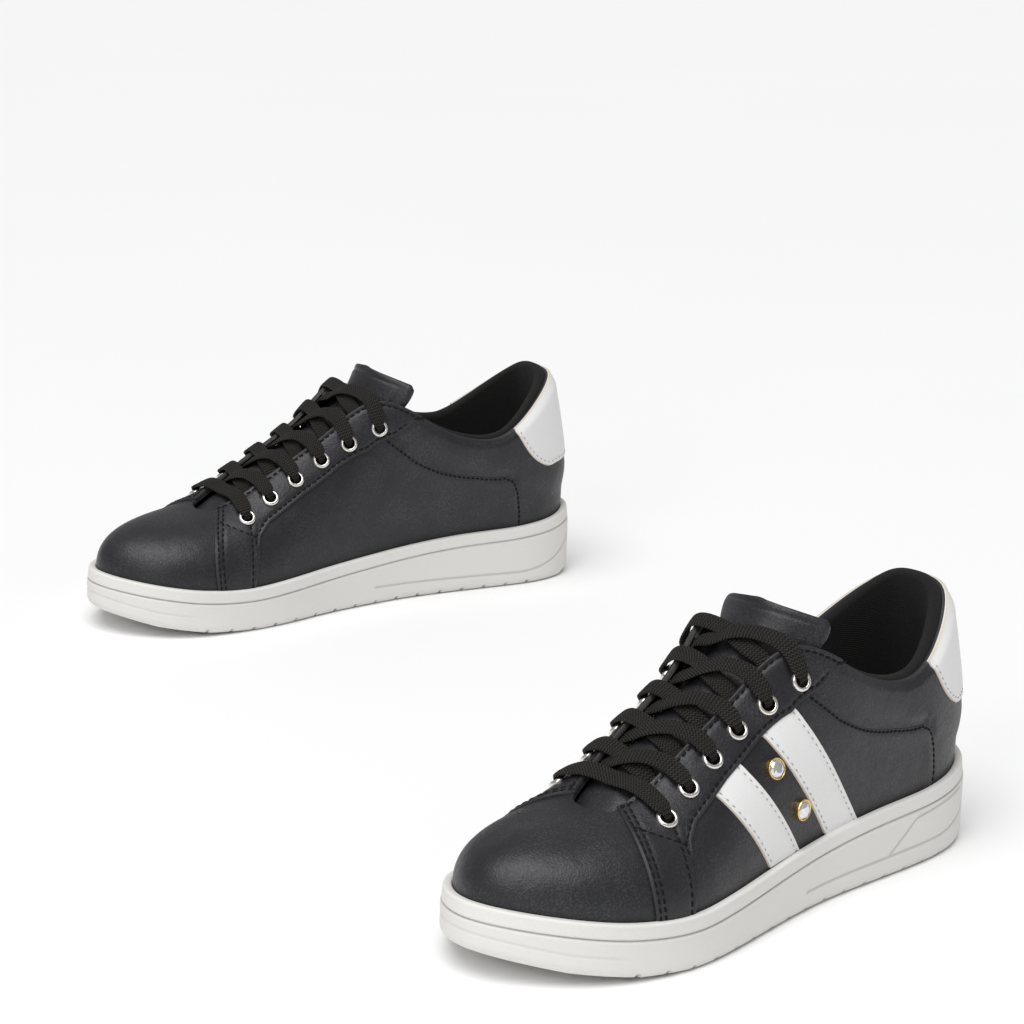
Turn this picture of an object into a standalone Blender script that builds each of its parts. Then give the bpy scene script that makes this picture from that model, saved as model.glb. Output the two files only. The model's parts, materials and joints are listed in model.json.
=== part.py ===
"""A pair of low lace-up court shoes, standing on the floor in a short stride.

Each shoe is modelled once, as a left shoe, in its own millimetre frame: x runs from the back of
the heel to the toe, y towards the outer (lateral) side and z up from the ground. The right shoe
is its mirror image. An empty for each shoe places it, toe towards -X.
"""
import math

import bpy
import numpy as np
from mathutils import Vector

MM = 0.001

# Where the two shoes stand: the back of each heel, in mm, and the turn of the toe about +Z.
RIGHT_HEEL = (170.99, 228.79)
LEFT_HEEL = (98.69, -179.21)
LEFT_YAW_DEG = 14.0

# Sole outline at its top edge, heel to toe: x, outer y, inner x, inner y.
STATIONS = 12
OUTLINE = (
    (0.0, 0.0, 0.0, 0.0),
    (7.0, 22.0, 7.0, -21.0),
    (30.0, 35.0, 30.0, -32.0),
    (60.0, 38.0, 60.0, -31.5),
    (90.0, 38.0, 90.0, -29.5),
    (115.0, 38.5, 114.0, -29.5),
    (138.0, 41.0, 137.0, -32.0),
    (162.0, 44.8, 160.0, -36.0),
    (186.0, 48.5, 184.0, -42.0),
    (210.0, 49.0, 210.0, -45.5),
    (236.0, 42.0, 240.0, -43.0),
    (259.0, 26.0, 265.0, -28.0),
    (276.0, -2.0, 276.0, -2.0),
)
# Top edge of the upper on the same stations: collar rim, top of the eyestay, throat edge, throat
# base. x, half width, height.
RIM = (
    (16.0, 0.0, 110.0),
    (21.0, 16.0, 106.0),
    (42.0, 28.0, 90.0),
    (62.0, 31.0, 81.5),
    (86.0, 31.0, 86.5),
    (106.0, 28.5, 97.5),
    (127.0, 20.5, 104.0),
    (149.0, 15.0, 89.5),
    (176.0, 14.0, 73.0),
    (199.0, 13.0, 59.0),
    (211.0, 10.0, 53.0),
    (214.0, 5.5, 52.2),
    (215.0, 0.0, 52.0),
)
# How the wall leaves the sole (upwards, outwards) and meets the top edge (x, outwards y, z).
WALL = (
    (70.0, 6.0, 12.0, 0.0, 70.0),
    (68.0, 7.0, 8.0, -6.0, 60.0),
    (56.0, 6.0, 2.0, -9.0, 46.0),
    (50.0, 4.0, 0.0, -9.0, 42.0),
    (56.0, 3.0, 2.0, -11.0, 46.0),
    (62.0, 3.0, 2.0, -18.0, 50.0),
    (66.0, 4.0, -2.0, -26.0, 46.0),
    (64.0, 4.0, -2.0, -31.0, 36.0),
    (58.0, 4.0, -2.0, -32.0, 26.0),
    (54.0, 4.0, -6.0, -32.0, 16.0),
    (58.0, 4.0, -26.0, -31.0, 9.0),
    (64.0, 3.0, -48.0, -17.0, 8.0),
    (68.0, 2.0, -58.0, 0.0, 8.0),
)
SOLE_TOP = (
    (0, 37), (15, 34), (40, 31.5), (80, 30), (130, 26),
    (180, 22.5), (205, 21.5), (230, 23), (255, 26.5), (276, 30),
)
SOLE_BOTTOM = ((0, 3), (14, 0), (205, 0), (230, 1.5), (255, 5.5), (276, 11))
LIP = 3.8
CUP_DEPTH = 12.0
UPPER_INSET = 6.4
TUCK = 0.2
RUN_DOWN = 40.0

# Thickness steps outwards from the inner face of the leather, in mm.
BASE = (0.0, 1.5)
OVERLAY = (2.3, 3.4)
COUNTER = (-1.65, -0.85)
PAD = (-6.6, -2.3)

# Seams and edges, side view (x, z), the same on both sides of the shoe.
COLLAR_SEAM = (
    (41, 38), (43.5, 50), (47, 57.5), (53, 60.3), (71, 62.5), (91, 67), (107, 74.5), (118, 83), (122, 86.2),
)
EYESTAY_REAR = ((106, 94), (118, 87.5), (133, 80.5), (149, 73), (170, 61), (191, 49.5), (198, 43.5))
EYELETS = ((126.5, 91.5), (142, 84), (157, 76), (172, 67.5), (186.5, 59.3), (201, 51))
STRIPES = {
    "stripe_rear": ((129.8, 81), (147.3, 72.8), (114.2, 28.6), (93, 30.4)),
    "stripe_front": ((161.1, 65.2), (177, 56), (154, 25.8), (132, 27.3)),
}
STUDS = {"stud_rear": (146.2, 61.5), "stud_front": (131.6, 42.5)}
HEEL_TAB_LOW = ((49, 82.5), (40, 70), (30, 63), (20, 62.5), (8, 65.5))

EYELET_BORE = 2.4
EYELET_BARREL = 3.0
EYELET_FLANGE = 4.4
EYELET_LOW, EYELET_SEAT, EYELET_TOP = 1.6, 3.9, 4.7
EYELET_SIDES = 10
EYELET_HOLE = 3.6
STUD_R = 4.4

# Tongue from the throat base up: centre line (x, z), half width and how far its edges drop.
TONGUE = (
    (222.0, 44.5, 16.0, 6.0),
    (212.0, 49.5, 19.0, 9.5),
    (204.0, 56.0, 22.0, 13.5),
    (190.0, 66.5, 23.8, 16.5),
    (172.0, 76.5, 24.2, 17.5),
    (155.0, 86.0, 24.2, 17.5),
    (141.5, 95.0, 23.6, 16.5),
    (131.0, 103.2, 22.2, 14.5),
    (124.3, 112.0, 24.8, 7.5),
    (121.0, 118.5, 25.5, 7.0),
)
TONGUE_THICK = 3.4
TONGUE_HINGE = (222.0, 0.0, 43.0)
THROAT_NORMAL = np.array([0.477, 0.0, 0.879])

LACE_WIDTH = 7.5
LACE_THICK = 1.7
LACE_BUNCH = (2.7, 1.9)
LOW_STRAND, HIGH_STRAND = 3.5, 5.9

COLOURS = {
    "black leather": ((0.018, 0.018, 0.020), 0.42, 0.0),
    "white leather": ((0.80, 0.80, 0.79), 0.45, 0.0),
    "white rubber": ((0.74, 0.73, 0.70), 0.60, 0.0),
    "black lining": ((0.012, 0.012, 0.013), 0.85, 0.0),
    "black lace": ((0.010, 0.010, 0.011), 0.80, 0.0),
    "nickel": ((0.66, 0.62, 0.56), 0.25, 1.0),
    "gold": ((0.80, 0.60, 0.30), 0.22, 1.0),
    "board": ((0.55, 0.45, 0.33), 0.85, 0.0),
}


def clear_scene():
    for obj in list(bpy.data.objects):
        bpy.data.objects.remove(obj, do_unlink=True)


def material(name):
    """The named material, made on first use."""
    made = bpy.data.materials.get(name)
    if made is None:
        colour, roughness, metallic = COLOURS[name]
        made = bpy.data.materials.new(name)
        made.use_nodes = True
        shader = made.node_tree.nodes["Principled BSDF"]
        shader.inputs["Base Color"].default_value = (*colour, 1.0)
        shader.inputs["Roughness"].default_value = roughness
        shader.inputs["Metallic"].default_value = metallic
    return made


# ---- The surface of the upper ------------------------------------------------------------------

def ring_of(lateral, medial):
    """Rows from heel centre out round the toe and back: the medial rows run the other way."""
    return np.array(list(lateral) + list(medial)[-2:0:-1], float)


class ClosedSpline:
    """Smooth closed curve through equally numbered rows, read at any row number."""

    def __init__(self, rows):
        self.rows = rows
        count = len(rows)
        matrix = 4 * np.eye(count) + np.roll(np.eye(count), 1, 1) + np.roll(np.eye(count), -1, 1)
        bend = np.roll(rows, -1, 0) - 2 * rows + np.roll(rows, 1, 0)
        self.curve = np.linalg.solve(matrix, 6 * bend)

    def __call__(self, u):
        count = len(self.rows)
        u = np.mod(np.asarray(u, float), count)
        i = np.floor(u).astype(int) % count
        j = (i + 1) % count
        t = (u - np.floor(u))[..., None]
        s = 1 - t
        return (
            s * self.rows[i] + t * self.rows[j]
            + ((s**3 - s) * self.curve[i] + (t**3 - t) * self.curve[j]) / 6
        )


def smooth(pairs, x):
    """Height read off a smooth curve through (x, height) pairs."""
    knots = np.array(pairs, float)
    slopes = np.gradient(knots[:, 1], knots[:, 0])
    x = np.clip(x, knots[0, 0], knots[-1, 0])
    i = np.clip(np.searchsorted(knots[:, 0], x) - 1, 0, len(knots) - 2)
    width = knots[i + 1, 0] - knots[i, 0]
    t = (x - knots[i, 0]) / width
    low, high = knots[i, 1], knots[i + 1, 1]
    return (
        low + (high - low) * (3 * t**2 - 2 * t**3)
        + width * (slopes[i] * (t - 2 * t**2 + t**3) + slopes[i + 1] * (t**3 - t**2))
    )


outline = ClosedSpline(ring_of([(a, b) for a, b, _, _ in OUTLINE], [(c, d) for _, _, c, d in OUTLINE]))
rim = ClosedSpline(ring_of(RIM, [(x, -y, z) for x, y, z in RIM]))
wall = ClosedSpline(ring_of(WALL, [(a, b, c, -d, e) for a, b, c, d, e in WALL]))
FULL_TURN = 2 * STATIONS


def outward(u):
    """Unit normal of the sole outline, pointing away from the shoe."""
    step = outline(np.asarray(u) + 0.01) - outline(np.asarray(u) - 0.01)
    normal = np.stack([-step[..., 1], step[..., 0]], -1)
    return normal / np.linalg.norm(normal, axis=-1, keepdims=True)


def sole_ring(u, inset):
    return outline(u) - outward(u) * inset


def upper_mid(u, v):
    """Inner face of the leather: v is 0 at the sole's top edge and 1 at the top of the upper."""
    foot = sole_ring(u, UPPER_INSET)
    base = np.concatenate([foot, smooth(SOLE_TOP, foot[..., 0])[..., None]], -1)
    lean = wall(u)
    leave = np.concatenate([outward(u) * lean[..., 1:2], lean[..., 0:1]], -1)
    arrive = lean[..., 2:5]
    t = np.maximum(v, 0)[..., None]
    point = (
        (2 * t**3 - 3 * t**2 + 1) * base + (t**3 - 2 * t**2 + t) * leave
        + (3 * t**2 - 2 * t**3) * rim(u) + (t**3 - t**2) * arrive
    )
    point[..., 2] += np.minimum(v, 0) * RUN_DOWN
    return point


def upper(u, v, w=0.0):
    """A point w mm outside the inner face of the leather, and the surface normal there."""
    u, v = np.broadcast_arrays(np.asarray(u, float), np.asarray(v, float))
    across = upper_mid(u + 0.02, v) - upper_mid(u - 0.02, v)
    rise = upper_mid(u, v + 0.01) - upper_mid(u, v - 0.01)
    normal = np.cross(rise, across)
    normal /= np.linalg.norm(normal, axis=-1, keepdims=True)
    return upper_mid(u, v) + normal * np.asarray(w)[..., None], normal


def find(x, z, side=1):
    """The (u, v) where the upper passes side-view position (x, z), on the outer or inner side."""
    samples = np.linspace(0.2, STATIONS - 0.6, 60)
    if side < 0:
        samples = FULL_TURN - samples
    grid_u, grid_v = np.meshgrid(samples, np.linspace(0, 1, 30))
    seen = upper_mid(grid_u, grid_v)
    best = np.argmin((seen[..., 0] - x) ** 2 + (seen[..., 2] - z) ** 2)
    u, v = grid_u.flat[best], grid_v.flat[best]
    for _ in range(8):
        here = upper_mid(u, np.asarray(v))
        du = (upper_mid(u + 1e-3, np.asarray(v)) - here) / 1e-3
        dv = (upper_mid(u, np.asarray(v + 1e-3)) - here) / 1e-3
        slope = np.array([[du[0], dv[0]], [du[2], dv[2]]])
        step = np.linalg.solve(slope, [x - here[0], z - here[2]])
        u, v = u + step[0], v + step[1]
    return u, v


def seam(points, side=1):
    """A side-view line as (u, v) rows with u rising."""
    rows = np.array([find(x, z, side) for x, z in points])
    return rows[np.argsort(rows[:, 0], kind="stable")]


def along(line, u):
    return np.interp(u, line[:, 0], line[:, 1])


# ---- Turning grids into solids -----------------------------------------------------------------

def grid_faces(columns, rows, closed=False):
    """Quads of a columns x rows grid of points, columns first."""
    last = columns if closed else columns - 1
    return [
        (i * rows + j, (i + 1) % columns * rows + j, (i + 1) % columns * rows + j + 1, i * rows + j + 1)
        for i in range(last)
        for j in range(rows - 1)
    ]


class Shoe:
    """Makes the named pieces of one shoe; side is 1 for the left shoe and -1 for the right."""

    def __init__(self, name, side, heel, yaw):
        self.name = name
        self.side = side
        self.frame = bpy.data.objects.new(name + "_shoe", None)
        self.frame.location = (heel[0] * MM, heel[1] * MM, 0)
        self.frame.rotation_euler = (0, 0, math.pi + yaw)
        SHOES.objects.link(self.frame)

    def add(self, name, points, faces, finish, origin=(0, 0, 0), smooth_angle=40, cutter=False):
        """A mesh object in this shoe's frame, from points in mm of the left shoe's frame."""
        flip = np.array([1, self.side, 1])
        points = (np.asarray(points, float) - origin) * flip * MM
        mesh = bpy.data.meshes.new(name)
        mesh.from_pydata(points.tolist(), [], [face[::-1] if self.side < 0 else face for face in faces])
        mesh.materials.append(material(finish))
        mesh.shade_smooth()
        mesh.set_sharp_from_angle(angle=math.radians(smooth_angle))
        made = bpy.data.objects.new(f"{self.name}_{name}", mesh)
        made.parent = self.frame
        made.location = (origin[0] * MM, origin[1] * self.side * MM, origin[2] * MM)
        (CUTTERS if cutter else SHOES).objects.link(made)
        if cutter:
            made.hide_render = True
            made.display_type = "WIRE"
        return made

    def panel(self, name, uv, layer, finish):
        """Sheet over the upper: uv is a grid of (u, v), given thickness outwards by Solidify."""
        columns, rows = uv.shape[:2]
        points, _ = upper(uv[..., 0], uv[..., 1], layer[0])
        faces = [face[::-1] for face in grid_faces(columns, rows)]
        made = self.add(name, points.reshape(-1, 3), faces, finish)
        shell = made.modifiers.new("thickness", "SOLIDIFY")
        shell.thickness = (layer[1] - layer[0]) * MM
        shell.offset = 1.0
        return made


def band(us, low, high, rows):
    """Grid of (u, v) whose columns run from low(u) to high(u)."""
    us = np.asarray(us, float)
    low = np.broadcast_to(low, us.shape)[:, None]
    high = np.broadcast_to(high, us.shape)[:, None]
    share = np.linspace(0, 1, rows)[None, :]
    return np.stack([np.broadcast_to(us[:, None], (len(us), rows)), low + (high - low) * share], -1)


# ---- Bottom of the shoe ------------------------------------------------------------------------

def strip_cap(count, start, upwards):
    """Cap a closed ring of count points by quads that join its outer side to its inner side."""
    half = count // 2
    faces = [(start + 0, start + 1, start + count - 1)]
    for i in range(1, half - 1):
        faces.append((start + i, start + i + 1, start + count - i - 1, start + count - i))
    faces.append((start + half - 1, start + half, start + half + 1))
    return [face[::-1] for face in faces] if upwards else faces


def stacked(rings):
    """Points and faces of a solid whose cross-sections are rings, bottom first."""
    count = len(rings[0])
    points = np.concatenate(rings)
    faces = []
    for k in range(len(rings) - 1):
        for i in range(count):
            j = (i + 1) % count
            faces.append((k * count + i, (k + 1) * count + i, (k + 1) * count + j, k * count + j))
    faces += strip_cap(count, 0, False)
    faces += strip_cap(count, (len(rings) - 1) * count, True)
    return points, faces


def ring(inset, height, count):
    """Closed ring of points inside the sole outline; height is a function of x."""
    us = np.linspace(0, FULL_TURN, count, endpoint=False)
    flat = sole_ring(us, inset)
    return np.concatenate([flat, height(flat[:, 0])[:, None]], 1)


def sole_top(x, down=0.0):
    return smooth(SOLE_TOP, x) - down


def sole_bottom(x, rise=0.0):
    return np.interp(x, *np.array(SOLE_BOTTOM, float).T) + rise


def cupsole(shoe):
    """Rubber cup: chamfered tread edge, side wall with a shallow groove, lip and cup floor."""
    count = 56
    rings = [
        ring(3.5, lambda x: sole_bottom(x), count),
        ring(0.8, lambda x: sole_bottom(x, 3.0), count),
        ring(0.0, lambda x: sole_top(x, 7.0), count),
        ring(0.6, lambda x: sole_top(x), count),
        ring(LIP, lambda x: sole_top(x), count),
        ring(LIP, lambda x: sole_top(x, CUP_DEPTH), count),
    ]
    shoe.add("cupsole", *stacked(rings), "white rubber")


def footbed(shoe):
    count = 36
    for name, inset, low, high, finish in (
        ("lasting_board", 5.0, 0.5, 2.0, "board"),
        ("insole", 8.6, 2.6, 6.0, "black lining"),
    ):
        under = ring(inset, lambda x: sole_top(x, CUP_DEPTH - low), count)
        over = ring(inset, lambda x: sole_top(x, CUP_DEPTH - high), count)
        shoe.add(name, *stacked([under, over]), finish)


# ---- Leather panels ----------------------------------------------------------------------------

VAMP_U = 9.2
LEG_REAR_U = 8.76
LEG_FRONT_U = (9.5, 9.85)
PANEL_GAP_U = 0.035
CORNER_U = 0.01
SEAM_GAP = 0.8
EYESTAY_MARGIN_V = 0.03
LEG_FOOT_V = 0.03
TOP_V = 0.99
RIM_V = 0.985


def turned(uv):
    """The same grid on the inner side of the shoe, kept the right way round."""
    other = uv[::-1].copy()
    other[..., 0] = FULL_TURN - other[..., 0]
    return other


def both_sides(shoe, name, grid_for, layer, finish):
    """A lateral and a medial panel; grid_for takes the side and gives rising u."""
    return [
        shoe.panel(f"{name}_{word}", grid_for(side), layer, finish)
        for word, side in (("lateral", 1), ("medial", -1))
    ]


def mirrored_seam(points, side):
    """A seam's (u, v) rows counted from the heel on either side."""
    rows = seam(points, side)
    if side < 0:
        rows = rows[::-1].copy()
        rows[:, 0] = FULL_TURN - rows[:, 0]
    return rows


def placed(uv, side):
    return uv if side > 0 else turned(uv)


def vamp(shoe):
    us = np.linspace(VAMP_U, FULL_TURN - VAMP_U, 21)
    shoe.panel("vamp", band(us, -TUCK, RIM_V, 7), BASE, "black leather")


def beside(line, shift):
    """A side-view line moved shift mm to its upper, rearward side."""
    line = np.array(line, float)
    run = np.gradient(line, axis=0)
    run /= np.linalg.norm(run, axis=1, keepdims=True)
    return line + shift * np.stack([-run[:, 1], run[:, 0]], -1)


def seam_columns(side, shift):
    """Columns (u, v) along the collar seam, for the panel on one side of it."""
    line = mirrored_seam(beside(COLLAR_SEAM, shift), side)
    us = np.concatenate([line[:3, 0], np.linspace(line[2, 0], line[-1, 0], 11)[1:]])
    return us, along(line, us)


def quarters(shoe):
    """Side panels below the collar seam; their upper margin ends under the eyestay."""
    def grid(side):
        us, high = seam_columns(side, -SEAM_GAP / 2)
        rear = mirrored_seam(EYESTAY_REAR[1:], side)
        ahead = np.linspace(us[-1], VAMP_U - PANEL_GAP_U, 12)[1:]
        margin = np.clip(along(rear, ahead) + EYESTAY_MARGIN_V, 0.55, high[-1])
        high = np.concatenate([high, margin])
        us = np.concatenate([us, ahead])
        return placed(band(us, -TUCK, high, 6), side)

    both_sides(shoe, "quarter", grid, BASE, "black leather")


def heel_panel(shoe):
    """Collar panel: a band under the rim on both sides that runs down to the sole at the heel."""
    ends = []
    for side in (1, -1):
        us, low = seam_columns(side, SEAM_GAP / 2)
        us = np.append(us[::-1], us[0] - CORNER_U)
        ends.append((us, np.append(low[::-1], -TUCK)))
    (outer_u, outer_v), (inner_u, inner_v) = ends
    middle = np.arange(math.floor(outer_u[-1] * 2) / 2, -inner_u[-1], -0.5)
    us = np.concatenate([outer_u, middle, -inner_u[::-1]])
    low = np.concatenate([outer_v, np.full(len(middle), -TUCK), inner_v[::-1]])
    shoe.panel("heel_panel", band(us, low, RIM_V, 5)[::-1], BASE, "black leather")


def heel_counter(shoe):
    us = np.linspace(-2.2, 2.2, 12)
    shoe.panel("heel_counter", band(us, 0.0, 0.6, 4), COUNTER, "board")


def collar_lining(shoe):
    us = np.linspace(-5.0, 5.0, 19)
    shoe.panel("collar_lining", band(us, 0.0, 1.0, 6), PAD, "black lining")


def heel_tab(shoe):
    line = mirrored_seam(HEEL_TAB_LOW, 1)
    us = np.linspace(-line[-1, 0], line[-1, 0], 15)
    low = along(line, np.abs(us))
    shoe.panel("heel_tab", band(us, low, 0.955, 4), OVERLAY, "white leather")


def eyestays(shoe):
    """Eyelet panel with a leg down to the sole, punched for its eyelets."""
    def grid(side):
        rear = mirrored_seam(EYESTAY_REAR, side)
        behind = np.linspace(rear[0, 0] - 0.1, rear[-1, 0], 13)
        leg = np.linspace(LEG_REAR_U, LEG_FRONT_U[0], 5)
        corner = np.linspace(behind[-1], leg[0], 5)[1:-1]
        drop = np.linspace(rear[-1, 1], LEG_FOOT_V, 5)[1:-1]
        us = np.concatenate([behind, corner, leg])
        low = np.concatenate([along(rear, behind), drop, np.full(len(leg), LEG_FOOT_V)])
        sheet = band(us, low, TOP_V, 6)
        front = sheet[-1, :, 1]
        sheet[-1, :, 0] = LEG_FRONT_U[0] + (LEG_FRONT_U[1] - LEG_FRONT_U[0]) * front
        return placed(sheet, side)

    panels = both_sides(shoe, "eyestay", grid, OVERLAY, "black leather")
    for panel, side in zip(panels, (1, -1)):
        for number in range(len(EYELETS)):
            hole = panel.modifiers.new(f"hole {number + 1}", "BOOLEAN")
            name = f"cutter_{panel.name}_{number}"
            hole.object = eyelet_solid(shoe, name, number, side, hole_profile(), cutter=True)
            hole.operation = "DIFFERENCE"


# ---- Trim --------------------------------------------------------------------------------------

def spun(profile, centre, axis, sides, closed=True):
    """Points and faces of (radius, height) rows turned about an axis."""
    turn = Vector((0, 0, 1)).rotation_difference(Vector(axis)).to_matrix()
    points = []
    for i in range(sides):
        angle = 2 * math.pi * i / sides
        for radius, height in profile:
            spot = turn @ Vector((radius * math.cos(angle), radius * math.sin(angle), height))
            points.append([centre[k] + spot[k] for k in range(3)])
    rows = len(profile)
    faces = []
    for i in range(sides):
        j = (i + 1) % sides
        for k in range(rows if closed else rows - 1):
            m = (k + 1) % rows
            faces.append((i * rows + k, j * rows + k, j * rows + m, i * rows + m))
    if not closed:
        faces.append(tuple(i * rows for i in range(sides))[::-1])
        faces.append(tuple(i * rows + rows - 1 for i in range(sides)))
    return points, faces


def eyelet_profile():
    return [
        (EYELET_BORE, EYELET_LOW),
        (EYELET_BARREL, EYELET_LOW),
        (EYELET_BARREL, EYELET_SEAT),
        (EYELET_FLANGE, EYELET_SEAT),
        (EYELET_BORE, EYELET_TOP),
    ]


def hole_profile():
    return [(EYELET_HOLE, -3.0), (EYELET_HOLE, 7.0)]


def eyelet_solid(shoe, name, number, side, profile, cutter=False):
    u, v = find(*EYELETS[number], side)
    centre, normal = upper(u, v)
    points, faces = spun(profile, centre, normal, EYELET_SIDES, closed=not cutter)
    return shoe.add(name, points, faces, "nickel", cutter=cutter)


def eyelets(shoe):
    for word, side in (("lateral", 1), ("medial", -1)):
        for number in range(len(EYELETS)):
            eyelet_solid(shoe, f"eyelet_{word}_{number + 1}", number, side, eyelet_profile())


def stripes(shoe):
    """Bands on the outer side, from the eyestay down and back to the sole."""
    for name, corners in STRIPES.items():
        top_rear, top_front, low_front, low_rear = (np.array(corner, float) for corner in corners)
        columns = []
        for s in np.linspace(0, 1, 3):
            line = []
            for t in np.linspace(0, 1, 8):
                low = low_rear + (low_front - low_rear) * s
                high = top_rear + (top_front - top_rear) * s
                line.append(find(*(low + (high - low) * t)))
            columns.append(line)
        shoe.panel(name, np.array(columns), OVERLAY, "white leather")


def studs(shoe):
    profile = [(STUD_R, 2.1), (STUD_R, 3.6), (STUD_R - 0.9, 4.4), (STUD_R - 2.4, 4.9)]
    for name, spot in STUDS.items():
        centre, normal = upper(*find(*spot))
        shoe.add(name, *spun(profile, centre, normal, 12, closed=False), "gold")


# ---- Tongue and lace ---------------------------------------------------------------------------

def tongue(shoe):
    """Padded tongue: an arched sheet that hangs from its sewn lower end."""
    across = 9
    rows = np.array(TONGUE)
    run = np.gradient(rows[:, :2], axis=0)
    run /= np.linalg.norm(run, axis=1, keepdims=True)
    points = []
    for (x, z, half, drop), (run_x, run_z) in zip(rows, run):
        for share in np.linspace(1, -1, across):
            fall = drop * abs(share) ** 2.2
            points.append((x - run_z * fall, half * share, z + run_x * fall))
    made = shoe.add("tongue", points, grid_faces(len(rows), across), "black leather", origin=TONGUE_HINGE)
    shell = made.modifiers.new("thickness", "SOLIDIFY")
    shell.thickness = TONGUE_THICK * MM
    shell.offset = -1.0


def eyelet_spot(number, side, w):
    return upper(*find(*EYELETS[number], side), w)


def edge_spot(number, side, w):
    """Throat edge level with an eyelet number, which may lie between two eyelets."""
    low = int(np.clip(math.floor(number), 0, len(EYELETS) - 2))
    first, second = np.array(EYELETS[low], float), np.array(EYELETS[low + 1], float)
    u = find(*(first + (second - first) * (number - low)), side)[0]
    return upper(u, 0.99, w)


def throat_spot(number, height):
    """Middle of the throat, level with an eyelet number."""
    middle = (edge_spot(number, 1, 0.0)[0] + edge_spot(number, -1, 0.0)[0]) / 2
    return middle + THROAT_NORMAL * height


def through_eyelet(number, side):
    """Rows (point, facing, flatness) of a lace that comes over the throat edge and goes in."""
    edge, edge_up = edge_spot(number + 0.2, side, 5.5)
    top, up = eyelet_spot(number, side, 5.7)
    centre, _ = eyelet_spot(number, side, 0.0)
    onward = centre - edge
    onward -= up * (onward @ up)
    onward /= np.linalg.norm(onward)
    return [
        (edge, edge_up, 1.0),
        (top - onward * 3.4 + up * 0.6, up, 0.9),
        (top - onward * 0.5 + up * 0.5, up + onward, 0.1),
        (centre + onward * 0.3 + up * 3.6, onward, 0.0),
        (centre + up * 0.6, onward, 0.0),
        (centre - up * 0.5 - onward * 1.0, onward - up, 0.3),
    ]


def lace_half(side, over):
    """One end of the lace, up from the bar; its strands that leave the side named over lie on top."""
    last = len(EYELETS) - 1
    route = through_eyelet(last, side)
    for number in range(last - 1, -1, -1):
        low, low_up = edge_spot(number + 0.75, side, -0.3)
        height = HIGH_STRAND if side == over else LOW_STRAND
        route.append((low, low_up, 0.9))
        route.append((throat_spot(number + 0.62, 2.6) + [0, side * 8.5, 0], THROAT_NORMAL, 1.0))
        route.append((throat_spot(number + 0.45, height), THROAT_NORMAL, 1.0))
        side = -side
        route.append((throat_spot(number + 0.28, height + 0.4) + [0, side * 8.0, 0], THROAT_NORMAL, 1.0))
        route += through_eyelet(number, side)
    return route


def lace(shoe):
    """Flat lace: a straight bar over the lowest pair, then both ends crossing up to the top."""
    bar = [(throat_spot(len(EYELETS) - 1, 4.2), THROAT_NORMAL, 1.0)]
    over = -shoe.side
    route = lace_half(-1, over)[::-1] + bar + lace_half(1, over)
    spots = np.array([row[0] for row in route])
    corners, facing = [], None
    for i, (point, wanted, flatness) in enumerate(route):
        ahead = spots[min(i + 1, len(route) - 1)] - spots[max(i - 1, 0)]
        ahead /= np.linalg.norm(ahead)
        up = wanted - ahead * (wanted @ ahead)
        up /= np.linalg.norm(up)
        if facing is not None and up @ facing < 0:
            up = -up
        facing = up
        across = np.cross(up, ahead)
        wide = LACE_BUNCH[0] + (LACE_WIDTH - LACE_BUNCH[0]) * flatness
        thick = LACE_BUNCH[1] + (LACE_THICK - LACE_BUNCH[1]) * flatness
        for a, b in ((1, 1), (-1, 1), (-1, -1), (1, -1)):
            corners.append(point + across * wide / 2 * a + up * thick / 2 * b)
    count = len(route)
    faces = [
        (i * 4 + k, i * 4 + (k + 1) % 4, (i + 1) * 4 + (k + 1) % 4, (i + 1) * 4 + k)
        for i in range(count - 1)
        for k in range(4)
    ]
    faces += [(3, 2, 1, 0), tuple((count - 1) * 4 + k for k in range(4))]
    shoe.add("lace", corners, faces, "black lace")


def build(name, side, heel, yaw):
    shoe = Shoe(name, side, heel, yaw)
    for make in (
        cupsole, footbed, vamp, quarters, heel_panel, heel_counter, collar_lining, heel_tab,
        eyestays, eyelets, stripes, studs, tongue, lace,
    ):
        make(shoe)


clear_scene()
SHOES = bpy.data.collections.new("cheer_shoes")
CUTTERS = bpy.data.collections.new("cutters")
bpy.context.scene.collection.children.link(SHOES)
bpy.context.scene.collection.children.link(CUTTERS)
build("right", -1, RIGHT_HEEL, 0.0)
build("left", 1, LEFT_HEEL, math.radians(LEFT_YAW_DEG))
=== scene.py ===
"""Looks of a pair of low lace-up court shoes: leather panels, stitching, laces and a rubber cupsole.

Lengths are millimetres in the frame of a left shoe: x from the back of the heel to the toe, y to the
outer (lateral) side, z up. The right shoe is its mirror image. Shoe.world() places each of them.
"""
import json
import math

import bmesh
import bpy
import numpy as np
from mathutils import Euler, Matrix, Vector


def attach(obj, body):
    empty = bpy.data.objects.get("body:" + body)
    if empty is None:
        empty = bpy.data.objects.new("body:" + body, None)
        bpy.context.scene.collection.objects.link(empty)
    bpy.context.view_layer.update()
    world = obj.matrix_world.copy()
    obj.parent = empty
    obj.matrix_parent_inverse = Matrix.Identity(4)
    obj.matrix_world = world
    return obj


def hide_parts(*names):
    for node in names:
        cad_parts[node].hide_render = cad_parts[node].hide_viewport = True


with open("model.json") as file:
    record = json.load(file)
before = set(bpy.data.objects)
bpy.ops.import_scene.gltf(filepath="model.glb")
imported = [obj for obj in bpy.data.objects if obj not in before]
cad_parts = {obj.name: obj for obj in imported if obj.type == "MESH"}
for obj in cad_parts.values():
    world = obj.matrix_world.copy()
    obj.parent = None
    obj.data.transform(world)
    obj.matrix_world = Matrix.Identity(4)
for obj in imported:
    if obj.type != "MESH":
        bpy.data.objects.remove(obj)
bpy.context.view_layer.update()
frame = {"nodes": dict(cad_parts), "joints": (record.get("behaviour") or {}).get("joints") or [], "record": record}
MM = 0.001

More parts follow.
